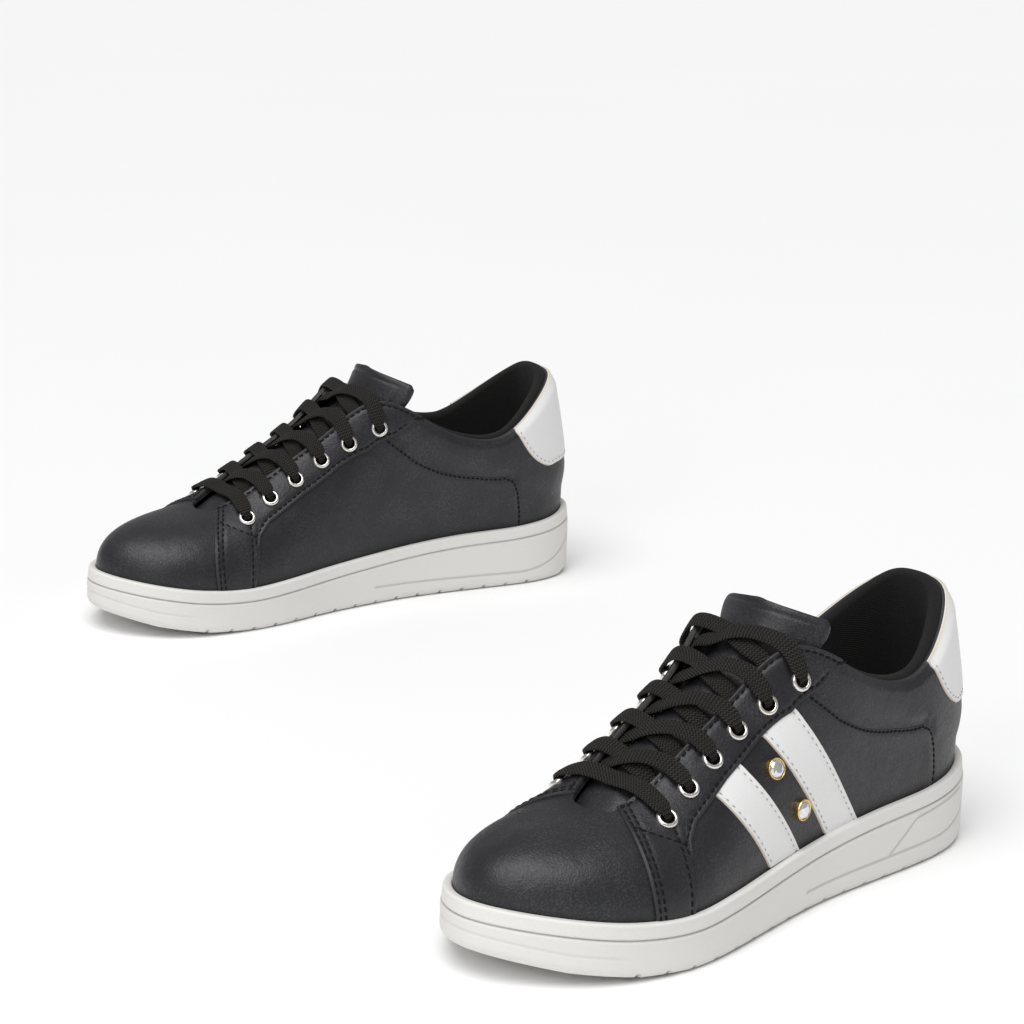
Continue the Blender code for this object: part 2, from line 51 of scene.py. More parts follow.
# ---- Shape tables, the same as the CAD part's ----------------------------------------------------

STATIONS = 12
FULL_TURN = 2 * STATIONS
# Sole outline at its top edge: x, outer y, inner x, inner y.
OUTLINE = (
    (0.0, 0.0, 0.0, 0.0), (7.0, 22.0, 7.0, -21.0), (30.0, 35.0, 30.0, -32.0),
    (60.0, 38.0, 60.0, -31.5), (90.0, 38.0, 90.0, -29.5), (115.0, 38.5, 114.0, -29.5),
    (138.0, 41.0, 137.0, -32.0), (162.0, 44.8, 160.0, -36.0), (186.0, 48.5, 184.0, -42.0),
    (210.0, 49.0, 210.0, -45.5), (236.0, 42.0, 240.0, -43.0), (259.0, 26.0, 265.0, -28.0),
    (276.0, -2.0, 276.0, -2.0),
)
# Top edge of the upper: x, half width, height.
RIM = (
    (16.0, 0.0, 110.0), (21.0, 16.0, 106.0), (42.0, 28.0, 90.0), (62.0, 31.0, 81.5),
    (86.0, 31.0, 86.5), (106.0, 28.5, 97.5), (127.0, 20.5, 104.0), (149.0, 15.0, 89.5),
    (176.0, 14.0, 73.0), (199.0, 13.0, 59.0), (211.0, 10.0, 53.0), (214.0, 5.5, 52.2),
    (215.0, 0.0, 52.0),
)
# How the wall leaves the sole (upwards, outwards) and meets the top edge (x, outwards y, z).
WALL = (
    (70.0, 6.0, 12.0, 0.0, 70.0), (68.0, 7.0, 8.0, -6.0, 60.0), (56.0, 6.0, 2.0, -9.0, 46.0),
    (50.0, 4.0, 0.0, -9.0, 42.0), (56.0, 3.0, 2.0, -11.0, 46.0), (62.0, 3.0, 2.0, -18.0, 50.0),
    (66.0, 4.0, -2.0, -26.0, 46.0), (64.0, 4.0, -2.0, -31.0, 36.0), (58.0, 4.0, -2.0, -32.0, 26.0),
    (54.0, 4.0, -6.0, -32.0, 16.0), (58.0, 4.0, -26.0, -31.0, 9.0), (64.0, 3.0, -48.0, -17.0, 8.0),
    (68.0, 2.0, -58.0, 0.0, 8.0),
)
SOLE_TOP = (
    (0, 37), (15, 34), (40, 31.5), (80, 30), (130, 26),
    (180, 22.5), (205, 21.5), (230, 23), (255, 26.5), (276, 30),
)
SOLE_BOTTOM = ((0, 3), (14, 0), (205, 0), (230, 1.5), (255, 5.5), (276, 11))
CUP_DEPTH = 12.0
UPPER_INSET = 6.4
RUN_DOWN = 40.0

# Side view (x, z) lines on the upper.
COLLAR_SEAM = (
    (41, 38), (43.5, 50), (47, 57.5), (53, 60.3), (71, 62.5), (91, 67), (107, 74.5), (118, 83), (122, 86.2),
)
EYESTAY_REAR = ((106, 94), (118, 87.5), (133, 80.5), (149, 73), (170, 61), (191, 49.5), (198, 43.5))
EYELETS = ((126.5, 91.5), (142, 84), (157, 76), (172, 67.5), (186.5, 59.3), (201, 51))
STRIPES = {
    "stripe_rear": ((129.8, 81), (147.3, 72.8), (114.2, 28.6), (93, 30.4)),
    "stripe_front": ((161.1, 65.2), (177, 56), (154, 25.8), (132, 27.3)),
}
STUDS = {"stud_rear": (146.2, 61.5), "stud_front": (131.6, 42.5)}
HEEL_TAB_LOW = ((49, 82.5), (40, 70), (30, 63), (20, 62.5), (8, 65.5))
# Tongue from the throat base up: centre line (x, z), half width and how far its edges drop.
TONGUE = (
    (222.0, 48.3, 16.0, 5.0), (212.0, 52.2, 19.0, 6.5), (204.0, 57.5, 22.0, 11.0),
    (190.0, 66.8, 23.8, 16.5), (172.0, 76.9, 24.2, 17.5), (155.0, 86.4, 24.2, 17.5),
    (141.5, 95.2, 23.6, 16.8), (131.0, 103.2, 23.4, 16.8), (124.3, 112.0, 27.2, 16.5),
    (121.0, 119.3, 30.0, 17.0),
)
THROAT_NORMAL = np.array([0.477, 0.0, 0.879])

# ---- Sizes of the finished layers ----------------------------------------------------------------

# Distances outwards from the inner face of the leather.
BASE_OUT, LAP_OUT, TRIM_OUT, OVER_OUT = 1.9, 2.4, 2.75, 3.5
OVER_IN = 1.3
TRIM_IN = BASE_OUT - 0.6
EDGE_ROUND = 0.8
# The padded collar stands out by this much, as far round from the heel as this station.
COLLAR_SWELL, SWELL_END = 2.1, 6.2
DENT_DEPTH, DENT_WIDTH = 0.42, 1.0
STITCH_LIFT = 0.1
SEAM_IN, LAP_SEAM_IN = 2.1, 1.4
EYELET_HOLE = 3.0
LACE_WIDTH, LACE_THICK = 7.5, 1.7
LACE_BUNCH = (2.7, 1.9)
LACE_RIBS = 5
LOW_STRAND, HIGH_STRAND = 3.5, 5.9
TONGUE_THICK, TONGUE_CORNER = 3.6, 8.0

# Lines moulded into the side of the sole (x, z). The low one sweeps down the heel as a quarter ellipse
# and runs straight to the arch, between two heights per side; the outer side has a second one.
SWEEP_TOP, SWEEP_LENGTH = (4.0, 30.5), 40.0
LOW_LINE_HEIGHTS = {1: (9.5, 8.5), -1: (7.0, 9.0)}
LOW_LINE_FRONT = 129.0
OUTER_LINE = ((21, 25), (57, 21.5), (74, 10))
FOXING = 6.2
LEDGE_RISE = 8.0


# ---- Camera and light ----------------------------------------------------------------------------

# The lens in mm, the camera's angles in degrees and its place from the right shoe's heel in metres.
LENS, SENSOR = 115.5, 36.0
LOOK_DOWN, BEARING, ROLL = 14.75, -32.25, 1.7
FROM_RIGHT_HEEL = (-0.934, -1.435, 0.477)
FLOOR_REACH = 14.0
SKY_COLOUR, SKY_STRENGTH = (0.99, 0.99, 1.0, 1.0), 0.36
OVERHEAD_FROM, OVERHEAD_STRENGTH, OVERHEAD_SPREAD = (-0.30, -0.22, 1.0), 2.25, 48


def place_camera():
    """A long lens from the toe side of the outer shoe, a little above it."""
    heel = SHOES["right"].world(np.array([[0.0, 0.0, 0.0]]))[0]
    lens = bpy.data.cameras.new("camera")
    lens.lens = LENS
    lens.sensor_width = SENSOR
    lens.clip_end = 50.0
    camera = bpy.data.objects.new("camera", lens)
    turn = Euler((math.radians(90 - LOOK_DOWN), 0, math.radians(BEARING))).to_matrix()
    roll = Matrix.Rotation(math.radians(ROLL), 3, "Z")
    camera.matrix_world = (turn @ roll).to_4x4()
    camera.location = Vector(heel) + Vector(FROM_RIGHT_HEEL)
    bpy.context.scene.collection.objects.link(camera)
    bpy.context.scene.camera = camera


def area_light(name, place, aim, size, power):
    light = bpy.data.lights.new(name, "AREA")
    light.shape = "RECTANGLE"
    light.size, light.size_y = size
    light.energy = power
    made = bpy.data.objects.new(name, light)
    made.location = place
    made.rotation_euler = (Vector(aim) - Vector(place)).to_track_quat("-Z", "Y").to_euler()
    bpy.context.scene.collection.objects.link(made)


def studio():
    """Pale floor under one wide soft light from above and a dim sky, with a weak light from the toe side."""
    corners = [(x * FLOOR_REACH, y * FLOOR_REACH, 0) for x, y in ((-1, -1), (1, -1), (1, 1), (-1, 1))]
    mesh = bpy.data.meshes.new("floor")
    mesh.from_pydata(corners, [], [(0, 1, 2, 3)])
    floor = bpy.data.objects.new("floor", mesh)
    bpy.context.scene.collection.objects.link(floor)
    mesh.materials.append(floor_finish())
    world = bpy.data.worlds.new("sky")
    bpy.context.scene.world = world
    world.use_nodes = True
    background = world.node_tree.nodes["Background"]
    background.inputs["Color"].default_value = SKY_COLOUR
    background.inputs["Strength"].default_value = SKY_STRENGTH
    light = bpy.data.lights.new("overhead", "SUN")
    light.energy = OVERHEAD_STRENGTH
    light.angle = math.radians(OVERHEAD_SPREAD)
    overhead = bpy.data.objects.new("overhead", light)
    overhead.rotation_euler = Vector(OVERHEAD_FROM).to_track_quat("Z", "Y").to_euler()
    bpy.context.scene.collection.objects.link(overhead)
    area_light("toe_side", (-1.3, -0.9, 0.9), (0, 0, 0.05), (0.7, 0.7), 5.0)
    bpy.context.scene.view_settings.view_transform = "Standard"


# ---- Finishes ------------------------------------------------------------------------------------

class Finish:
    """A node material under construction: noise, cell, attribute and maths nodes feed colour, gloss and bump."""

    def __init__(self, name, colour, roughness, metallic=0.0):
        self.made = bpy.data.materials.new(name)
        self.made.use_nodes = True
        self.nodes = self.made.node_tree.nodes
        self.links = self.made.node_tree.links
        self.shader = self.nodes["Principled BSDF"]
        self.set(self.shader, "Base Color", (*colour, 1.0))
        self.set(self.shader, "Roughness", roughness)
        self.set(self.shader, "Metallic", metallic)
        self.bump = None
        self.place = self.nodes.new("ShaderNodeTexCoord").outputs["Object"]

    def set(self, node, key, value):
        """Gives an input a plain value or links another node's output to it."""
        if isinstance(value, bpy.types.NodeSocket):
            self.links.new(value, node.inputs[key])
        else:
            node.inputs[key].default_value = value

    def noise(self, scale, detail=2.0):
        made = self.nodes.new("ShaderNodeTexNoise")
        self.set(made, "Vector", self.place)
        self.set(made, "Scale", scale)
        self.set(made, "Detail", detail)
        return made.outputs["Fac"]

    def cells(self, scale):
        made = self.nodes.new("ShaderNodeTexVoronoi")
        made.feature = "SMOOTH_F1"
        self.set(made, "Vector", self.place)
        self.set(made, "Scale", scale)
        return made.outputs["Distance"]

    def attribute(self, name, part="Fac"):
        made = self.nodes.new("ShaderNodeAttribute")
        made.attribute_name = name
        return made.outputs[part]

    def axes(self, vector):
        made = self.nodes.new("ShaderNodeSeparateXYZ")
        self.set(made, 0, vector)
        return made.outputs

    def math(self, operation, *values):
        made = self.nodes.new("ShaderNodeMath")
        made.operation = operation
        for key, value in enumerate(values):
            self.set(made, key, value)
        return made.outputs[0]

    def spread(self, value, low, high, to_low, to_high):
        """Maps a value's range onto another one."""
        made = self.nodes.new("ShaderNodeMapRange")
        for key, entry in enumerate((value, low, high, to_low, to_high)):
            self.set(made, key, entry)
        return made.outputs[0]

    def blend(self, share, first, second):
        made = self.nodes.new("ShaderNodeMix")
        made.data_type = "RGBA"
        self.set(made, 0, share)
        self.set(made, 6, first if not isinstance(first, tuple) else (*first, 1.0))
        self.set(made, 7, second if not isinstance(second, tuple) else (*second, 1.0))
        return made.outputs[2]

    def relief(self, height, depth):
        """Adds a bump of that depth in metres."""
        made = self.nodes.new("ShaderNodeBump")
        self.set(made, "Strength", 1.0)
        self.set(made, "Distance", depth)
        self.set(made, "Height", height)
        if self.bump is not None:
            self.set(made, "Normal", self.bump)
        self.bump = made.outputs["Normal"]
        self.set(self.shader, "Normal", self.bump)


def leather(name, colour, pale, edge, grain):
    """Coated leather: fine pores, soft tone changes and a rougher cut edge of its own colour."""
    roughness = 0.41
    made = Finish(name, colour, roughness)
    made.set(made.shader, "Specular IOR Level", 0.42)
    tone = made.spread(made.noise(55.0, 4.0), 0.3, 0.7, 0.0, 1.0)
    fleck = made.spread(made.noise(1300.0, 2.0), 0.45, 0.72, 0.05, 0.75)
    worn = made.blend(made.math("MULTIPLY", tone, fleck), colour, pale)
    edge_share = made.attribute("edge")
    made.set(made.shader, "Base Color", made.blend(edge_share, worn, edge))
    gloss = made.spread(made.noise(900.0, 3.0), 0.3, 0.7, roughness - 0.05, roughness + 0.09)
    made.set(made.shader, "Roughness", made.math("MULTIPLY_ADD", edge_share, 0.2, gloss))
    made.relief(made.cells(1500.0), grain)
    made.relief(made.noise(140.0, 3.0), grain * 4)
    return made.made


def rubber():
    """Moulded rubber with a sanded skin and painted shade in its grooves and tread notches."""
    # groove is the colour of the painted shade laid into the sole's grooves, moulded lines and tread notches.
    base, groove = (0.74, 0.73, 0.70), (0.37, 0.36, 0.335)
    made = Finish("sole_rubber", base, 0.55)
    mottle = made.spread(made.noise(30.0, 3.0), 0.35, 0.65, 0.0, 0.12)
    shaded = made.blend(mottle, base, (0.68, 0.667, 0.635))
    # The sole's edge attribute is its painted groove shade, mixed in here.
    made.set(made.shader, "Base Color", made.blend(made.attribute("edge"), shaded, groove))
    made.set(made.shader, "Roughness", made.spread(made.noise(1300.0, 2.0), 0.3, 0.7, 0.48, 0.66))
    made.relief(made.noise(1700.0, 2.0), 0.00012)
    return made.made


def knit(name, colour, pale, pitch):
    """Brushed textile: rows of small loops."""
    made = Finish(name, colour, 0.9)
    across, _, up = made.axes(made.attribute("lay", "Vector"))
    turn = 2 * math.pi / pitch
    wale = made.math("SINE", made.math("MULTIPLY", across, turn))
    course = made.math("SINE", made.math("MULTIPLY", up, turn * 1.4))
    loops = made.math("MULTIPLY", wale, course)
    made.set(made.shader, "Base Color", made.blend(made.spread(loops, -1, 1, 0, 1), colour, pale))
    made.set(made.shader, "Specular IOR Level", 0.2)
    made.set(made.shader, "Sheen Weight", 0.05)
    made.relief(loops, 0.00012)
    made.relief(made.noise(2500.0, 2.0), 0.00015)
    return made.made


def braid():
    """Flat braided lace: lengthwise ribs of slanted yarns, with a painted highlight on the yarn crests."""
    # pale is the painted highlight colour on the yarn crests.
    colour, pale = (0.006, 0.0055, 0.005), (0.050, 0.046, 0.039)
    made = Finish("lace_braid", colour, 0.75)
    made.set(made.shader, "Specular IOR Level", 0.25)
    along, across, _ = made.axes(made.attribute("lay", "Vector"))
    rib = made.math("PINGPONG", across, LACE_WIDTH / LACE_RIBS / 2)
    slant = made.math("MULTIPLY_ADD", rib, 5.0, made.math("MULTIPLY", along, 2 * math.pi / 1.5))
    yarn = made.math("SINE", slant)
    fuzz = made.noise(3200.0, 2.0)
    # Painted highlight: paler on the yarn crests, broken up by random fuzz.
    crest_highlight_and_fuzz = made.math("MULTIPLY", made.spread(yarn, -0.4, 1, 0, 1), made.spread(fuzz, 0.3, 0.7, 0.3, 1.0))
    made.set(made.shader, "Base Color", made.blend(crest_highlight_and_fuzz, colour, pale))
    made.relief(yarn, 0.00022)
    made.relief(fuzz, 0.00012)
    return made.made


def thread(name, colour, pale):
    """Twisted sewing thread."""
    made = Finish(name, colour, 0.7)
    made.set(made.shader, "Specular IOR Level", 0.12)
    made.set(made.shader, "Base Color", made.blend(made.noise(4000.0, 2.0), colour, pale))
    made.relief(made.noise(5000.0, 1.0), 0.0001)
    return made.made


def metal(name, colour, roughness):
    """Plated metal with faint scratches."""
    made = Finish(name, colour, roughness, 1.0)
    rubbed = made.spread(made.noise(700.0, 4.0), 0.3, 0.7, roughness * 0.7, roughness * 1.5)
    made.set(made.shader, "Roughness", rubbed)
    made.relief(made.noise(1600.0, 3.0), 0.00002)
    return made.made


def crystal():
    """Foil-backed glass stone."""
    made = Finish("crystal", (0.80, 0.81, 0.84), 0.06, 0.85)
    tint = made.blend(made.noise(420.0, 1.0), (0.50, 0.52, 0.56), (0.98, 0.98, 1.0))
    made.set(made.shader, "Base Color", tint)
    made.set(made.shader, "Coat Weight", 1.0)
    made.set(made.shader, "Coat Roughness", 0.02)
    return made.made


def board():
    """Pressed fibre board."""
    made = Finish("board", (0.50, 0.40, 0.28), 0.85)
    fibre = made.noise(800.0, 6.0)
    made.set(made.shader, "Base Color", made.blend(fibre, (0.42, 0.33, 0.22), (0.62, 0.51, 0.37)))
    made.relief(fibre, 0.0003)
    return made.made


def floor_finish():
    made = Finish("studio_floor", (0.93, 0.93, 0.93), 0.7)
    made.set(made.shader, "Base Color", made.blend(made.noise(3.0), (0.92, 0.92, 0.92), (0.94, 0.94, 0.94)))
    made.set(made.shader, "Specular IOR Level", 0.2)
    return made.made


FINISHES = {
    "black": leather(
        "black_leather", (0.011, 0.011, 0.0135), (0.060, 0.061, 0.07), (0.03, 0.029, 0.028), 1e-4
    ),
    "white": leather("white_leather", (0.80, 0.80, 0.795), (0.74, 0.74, 0.73), (0.60, 0.53, 0.42), 4e-5),
    "rubber": rubber(),
    "lining": knit("collar_knit", (0.006, 0.006, 0.006), (0.020, 0.019, 0.018), 1.3),
    "insole": knit("insole_fabric", (0.010, 0.010, 0.011), (0.032, 0.032, 0.032), 1.8),
    "lace": braid(),
    "black thread": thread("black_thread", (0.004, 0.004, 0.004), (0.014, 0.014, 0.014)),
    "grey thread": thread("grey_thread", (0.30, 0.30, 0.29), (0.50, 0.50, 0.48)),
    "nickel": metal("eyelet_nickel", (0.78, 0.75, 0.70), 0.22),
    "gold": metal("stud_gold", (0.86, 0.62, 0.26), 0.2),
    "crystal": crystal(),
    "board": board(),
}


# ---- The surface of the upper --------------------------------------------------------------------

def ring_of(lateral, medial):
    """Rows from heel centre out round the toe and back: the medial rows run the other way."""
    return np.array(list(lateral) + list(medial)[-2:0:-1], float)


class ClosedSpline:
    """Smooth closed curve through equally numbered rows, read at any row number."""

    def __init__(self, rows):
        self.rows = rows
        count = len(rows)
        matrix = 4 * np.eye(count) + np.roll(np.eye(count), 1, 1) + np.roll(np.eye(count), -1, 1)
        bend = np.roll(rows, -1, 0) - 2 * rows + np.roll(rows, 1, 0)
        self.curve = np.linalg.solve(matrix, 6 * bend)

    def __call__(self, u):
        count = len(self.rows)
        u = np.mod(np.asarray(u, float), count)
        i = np.floor(u).astype(int) % count
        j = (i + 1) % count
        t = (u - np.floor(u))[..., None]
        s = 1 - t
        return (
            s * self.rows[i] + t * self.rows[j]
            + ((s**3 - s) * self.curve[i] + (t**3 - t) * self.curve[j]) / 6
        )


def hermite(knots, values, at):
    """Smooth curve through rows of values, read at any place between the knots."""
    values = np.asarray(values, float)
    slopes = np.gradient(values, knots, axis=0)
    at = np.clip(at, knots[0], knots[-1])
    i = np.clip(np.searchsorted(knots, at) - 1, 0, len(knots) - 2)
    width = knots[i + 1] - knots[i]
    t = (at - knots[i]) / width
    if values.ndim > 1:
        t, width = t[..., None], width[..., None]
    return (
        values[i] + (values[i + 1] - values[i]) * (3 * t**2 - 2 * t**3)
        + width * (slopes[i] * (t - 2 * t**2 + t**3) + slopes[i + 1] * (t**3 - t**2))
    )


def smooth(pairs, x):
    knots = np.array(pairs, float)
    return hermite(knots[:, 0], knots[:, 1], x)


def unit(vectors):
    """The same directions with length 1."""
    return vectors / np.linalg.norm(vectors, axis=-1, keepdims=True)


def lengths_along(line, power=1.0):
    """Running length from the start of a line to each of its points."""
    return np.concatenate([[0], np.cumsum(np.linalg.norm(np.diff(line, axis=0), axis=1) ** power)])


def round_off(near):
    """Share by which a rounded edge falls: 0 inside it and 1 at the very edge."""
    return 1 - np.sqrt(1 - near**2)


def ease(t):
    """0 to 1 with soft ends."""
    t = np.clip(t, 0, 1)
    return t * t * (3 - 2 * t)


outline = ClosedSpline(ring_of([(a, b) for a, b, _, _ in OUTLINE], [(c, d) for _, _, c, d in OUTLINE]))
rim = ClosedSpline(ring_of(RIM, [(x, -y, z) for x, y, z in RIM]))
wall = ClosedSpline(ring_of(WALL, [(a, b, c, -d, e) for a, b, c, d, e in WALL]))


def outward(u):
    """Unit normal of the sole outline, pointing away from the shoe."""
    step = outline(np.asarray(u) + 0.01) - outline(np.asarray(u) - 0.01)
    return unit(np.stack([-step[..., 1], step[..., 0]], -1))


def sole_ring(u, inset):
    return outline(u) - outward(u) * np.asarray(inset)[..., None]


def upper_mid(u, v):
    """Inner face of the leather: v is 0 at the sole's top edge and 1 at the top of the upper."""
    foot = sole_ring(u, UPPER_INSET)
    base = np.concatenate([foot, smooth(SOLE_TOP, foot[..., 0])[..., None]], -1)
    lean = wall(u)
    leave = np.concatenate([outward(u) * lean[..., 1:2], lean[..., 0:1]], -1)
    arrive = lean[..., 2:5]
    t = np.maximum(v, 0)[..., None]
    point = (
        (2 * t**3 - 3 * t**2 + 1) * base + (t**3 - 2 * t**2 + t) * leave
        + (3 * t**2 - 2 * t**3) * rim(u) + (t**3 - t**2) * arrive
    )
    point[..., 2] += np.minimum(v, 0) * RUN_DOWN
    return point


def upper(u, v, w=0.0):
    """A point w mm outside the inner face of the leather, and the surface normal there."""
    u, v = np.broadcast_arrays(np.asarray(u, float), np.asarray(v, float))
    across = upper_mid(u + 0.02, v) - upper_mid(u - 0.02, v)
    rise = upper_mid(u, v + 0.01) - upper_mid(u, v - 0.01)
    normal = unit(np.cross(rise, across))
    return upper_mid(u, v) + normal * np.asarray(w)[..., None], normal


def find(x, z, side=1):
    """The (u, v) where the upper passes side-view position (x, z), on the outer or inner side."""
    samples = np.linspace(0.2, STATIONS - 0.6, 60)
    if side < 0:
        samples = FULL_TURN - samples
    grid_u, grid_v = np.meshgrid(samples, np.linspace(0, 1, 30))
    seen = upper_mid(grid_u, grid_v)
    best = np.argmin((seen[..., 0] - x) ** 2 + (seen[..., 2] - z) ** 2)
    u, v = grid_u.flat[best], grid_v.flat[best]
    for _ in range(6):
        here = upper_mid(u, np.asarray(v))
        du = (upper_mid(u + 1e-3, np.asarray(v)) - here) / 1e-3
        dv = (upper_mid(u, np.asarray(v + 1e-3)) - here) / 1e-3
        slope = np.array([[du[0], dv[0]], [du[2], dv[2]]])
        step = np.linalg.solve(slope, [x - here[0], z - here[2]])
        u, v = u + step[0], v + step[1]
    return u, v


def seam(points, side):
    """A side-view line's (u, v) rows counted from the heel, on either side."""
    rows = np.array([find(x, z, side) for x, z in points])
    if side < 0:
        rows[:, 0] = FULL_TURN - rows[:, 0]
    return rows[np.argsort(rows[:, 0], kind="stable")]


def turned(uv, side):
    """A grid counted from the heel, put on its own side of the shoe with u still rising."""
    if side > 0:
        return uv
    other = uv[::-1].copy()
    other[..., 0] = FULL_TURN - other[..., 0]
    return other


# ---- Mesh tools ----------------------------------------------------------------------------------

def grid_faces(columns, rows, closed=False):
    """Quads of a columns x rows grid of points, columns first."""
    last = columns if closed else columns - 1
    return [
        (i * rows + j, (i + 1) % columns * rows + j, (i + 1) % columns * rows + j + 1, i * rows + j + 1)
        for i in range(last)
        for j in range(rows - 1)
    ]


def tube_faces(rings, count):
    """Quads between rings of count points each, and the two faces that close its ends."""
    quads = [
        (i * count + k, (i + 1) * count + k, (i + 1) * count + (k + 1) % count, i * count + (k + 1) % count)
        for i in range(rings - 1)
        for k in range(count)
    ]
    return quads + [tuple(range(count)), tuple((rings - 1) * count + k for k in range(count))[::-1]]


def solid_sheet(outer, inner, faces):
    """Closed solid between two matching sheets; its inner faces come after its outer ones."""
    count = len(outer)
    border = set()
    for face in faces:
        for a, b in zip(face, face[1:] + face[:1]):
            if (b, a) in border:
                border.remove((b, a))
            else:
                border.add((a, b))
    walls = [(b, a, a + count, b + count) for a, b in sorted(border)]
    inside = [tuple(i + count for i in face[::-1]) for face in faces]
    return np.concatenate([outer, inner]), faces + walls + inside


def distance(points, lines):
    """Distance of each point to the nearest of some polylines."""
    flat = points.reshape(-1, points.shape[-1])
    best = np.full(len(flat), 1e6)
    for line in lines:
        for a, b in zip(line[:-1], line[1:]):
            run = b - a
            t = np.clip((flat - a) @ run / max(run @ run, 1e-9), 0, 1)
            best = np.minimum(best, np.linalg.norm(flat - a - t[:, None] * run, axis=1))
    return best.reshape(points.shape[:-1])


def lathe(profile, centre, axis, sides):
    """A ring: (radius, height) rows turned about an axis."""
    turn = np.array(Vector((0, 0, 1)).rotation_difference(Vector(axis)).to_matrix())
    angles = np.linspace(0, 2 * math.pi, sides, endpoint=False)[:, None]
    rows = np.array(profile, float)
    radius, height = rows[:, 0][None], rows[:, 1][None]
    spots = np.stack([radius * np.cos(angles), radius * np.sin(angles), height + 0 * angles], -1)
    points = spots.reshape(-1, 3) @ turn.T + centre
    count = len(rows)
    faces = [
        (i * count + k, (i + 1) % sides * count + k,
         (i + 1) % sides * count + (k + 1) % count, i * count + (k + 1) % count)
        for i in range(sides)
        for k in range(count)
    ]
    return points, faces


class Shoe:
    """Makes the pieces of one shoe; side is 1 for the left shoe and -1 for the right."""

    def __init__(self, name, side):
        self.name = name
        self.side = side
        record = frame["record"]
        rest = next(m for m in record["mounts"] if m["name"] == name + "_sole_rest")
        hinge = next(j for j in frame["joints"] if j["name"] == name + "_tongue_flex")
        sole = np.array(rest["pos_m"][:2], float)
        toe = np.array(hinge["pos_m"][:2], float) - sole
        self.forward = toe / np.linalg.norm(toe)
        self.heel = sole - self.forward * 100 * MM

    def world(self, points):
        """Shoe millimetres to world metres."""
        points = np.asarray(points, float) * MM
        across = np.array([-self.forward[1], self.forward[0]]) * self.side
        flat = self.heel + points[:, :1] * self.forward + points[:, 1:2] * across
        return np.concatenate([flat, points[:, 2:]], 1)

    def add(self, name, points, faces, finish, slot, nodes=(), body="shoe", lining_from=None,
            sharp=40, marks=None, weld=False):
        """A finished piece that stands for CAD nodes and rides on a body of this shoe."""
        mesh = bpy.data.meshes.new(f"{self.name}_{name}")
        mesh.from_pydata(self.world(points).tolist(), [], [f[::-1] if self.side < 0 else f for f in faces])
        mesh.materials.append(FINISHES[finish])
        for mark, values in (marks or {}).items():
            values = np.asarray(values, float)
            kind = "FLOAT" if values.ndim == 1 else "FLOAT_VECTOR"
            layer = mesh.attributes.new(mark, kind, "POINT")
            layer.data.foreach_set("value" if values.ndim == 1 else "vector", values.ravel())
        if lining_from is not None:
            mesh.materials.append(FINISHES["lining"])
            index = np.zeros(len(faces), np.int32)
            index[lining_from:] = 1
            mesh.polygons.foreach_set("material_index", index)
        if weld:
            work = bmesh.new()
            work.from_mesh(mesh)
            bmesh.ops.remove_doubles(work, verts=work.verts, dist=1e-6)
            work.to_mesh(mesh)
            work.free()
        mesh.shade_smooth()
        mesh.set_sharp_from_angle(angle=math.radians(sharp))
        made = bpy.data.objects.new(f"{self.name}_{name}", mesh)
        bpy.context.scene.collection.objects.link(made)
        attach(made, f"{self.name}_{body}")
        if nodes:
            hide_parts(*(f"{self.name}_{node}" for node in nodes))
        return made


# ---- Stitching -----------------------------------------------------------------------------------

BEAD_STEPS = ((-1.0, 0.0), (-0.82, 0.62), (-0.4, 1.0), (0.4, 1.0), (0.82, 0.62), (1.0, 0.0))
BEAD_SIDES = 6


def bead():
    """One stitch: a rounded bar along x, of half length and radius 1."""
    points, faces = [], []
    for x, radius in BEAD_STEPS:
        for k in range(BEAD_SIDES):
            angle = 2 * math.pi * k / BEAD_SIDES
            points.append((x, radius * math.cos(angle), radius * math.sin(angle)))
    for i in range(len(BEAD_STEPS) - 1):
        for k in range(BEAD_SIDES):
            m = (k + 1) % BEAD_SIDES
            faces.append((i * BEAD_SIDES + m, i * BEAD_SIDES + k,
                          (i + 1) * BEAD_SIDES + k, (i + 1) * BEAD_SIDES + m))
    return np.array(points), faces


def beside(line, normals, gap):
    """A line on the surface moved gap mm sideways, without the loops that a corner would give."""
    run = unit(np.gradient(line, axis=0))
    moved = line + np.cross(normals, run) * gap
    keep = distance(moved, [line]) > abs(gap) * 0.97
    return moved[keep], normals[keep]


def sew(shoe, name, rows, pitch, size, finish, slot):
    """Stitches along rows of (line, normals): size is half length, half width, half height."""
    shape, shape_faces = bead()
    points, faces = [], []
    for line, normals in rows:
        lengths = lengths_along(line)
        count = max(1, int(lengths[-1] / pitch))
        places = (np.arange(count) + 0.5) * lengths[-1] / count
        for place in places:
            spot = np.array([np.interp(place, lengths, line[:, k]) for k in range(3)])
            up = np.array([np.interp(place, lengths, normals[:, k]) for k in range(3)])
            ahead = np.array([
                np.interp(place + 0.5, lengths, line[:, k]) - np.interp(place - 0.5, lengths, line[:, k])
                for k in range(3)
            ])
            up /= np.linalg.norm(up)
            ahead -= up * (ahead @ up)
            ahead /= np.linalg.norm(ahead)
            across = np.cross(up, ahead)
            ahead = ahead + across * STITCH_SLANT
            start = len(points) * len(shape)
            points.append(
                spot + shape[:, :1] * ahead * size[0]
                + shape[:, 1:2] * across * size[1] + shape[:, 2:] * up * size[2]
            )
            faces += [tuple(i + start for i in face) for face in shape_faces]
    shoe.add(name, np.concatenate(points), faces, finish, slot, weld=True)


# Half length, half width and half height of each kind of stitch, and the pitch of its rows.
BLACK_STITCH, BLACK_PITCH = (1.25, 0.46, 0.38), 3.3
BOLD_STITCH, BOLD_PITCH = (1.1, 0.56, 0.42), 2.7
FINE_STITCH, FINE_PITCH = (0.75, 0.26, 0.24), 3.5
STITCH_SLANT = 0.10


# ---- Leather panels ------------------------------------------------------------------------------

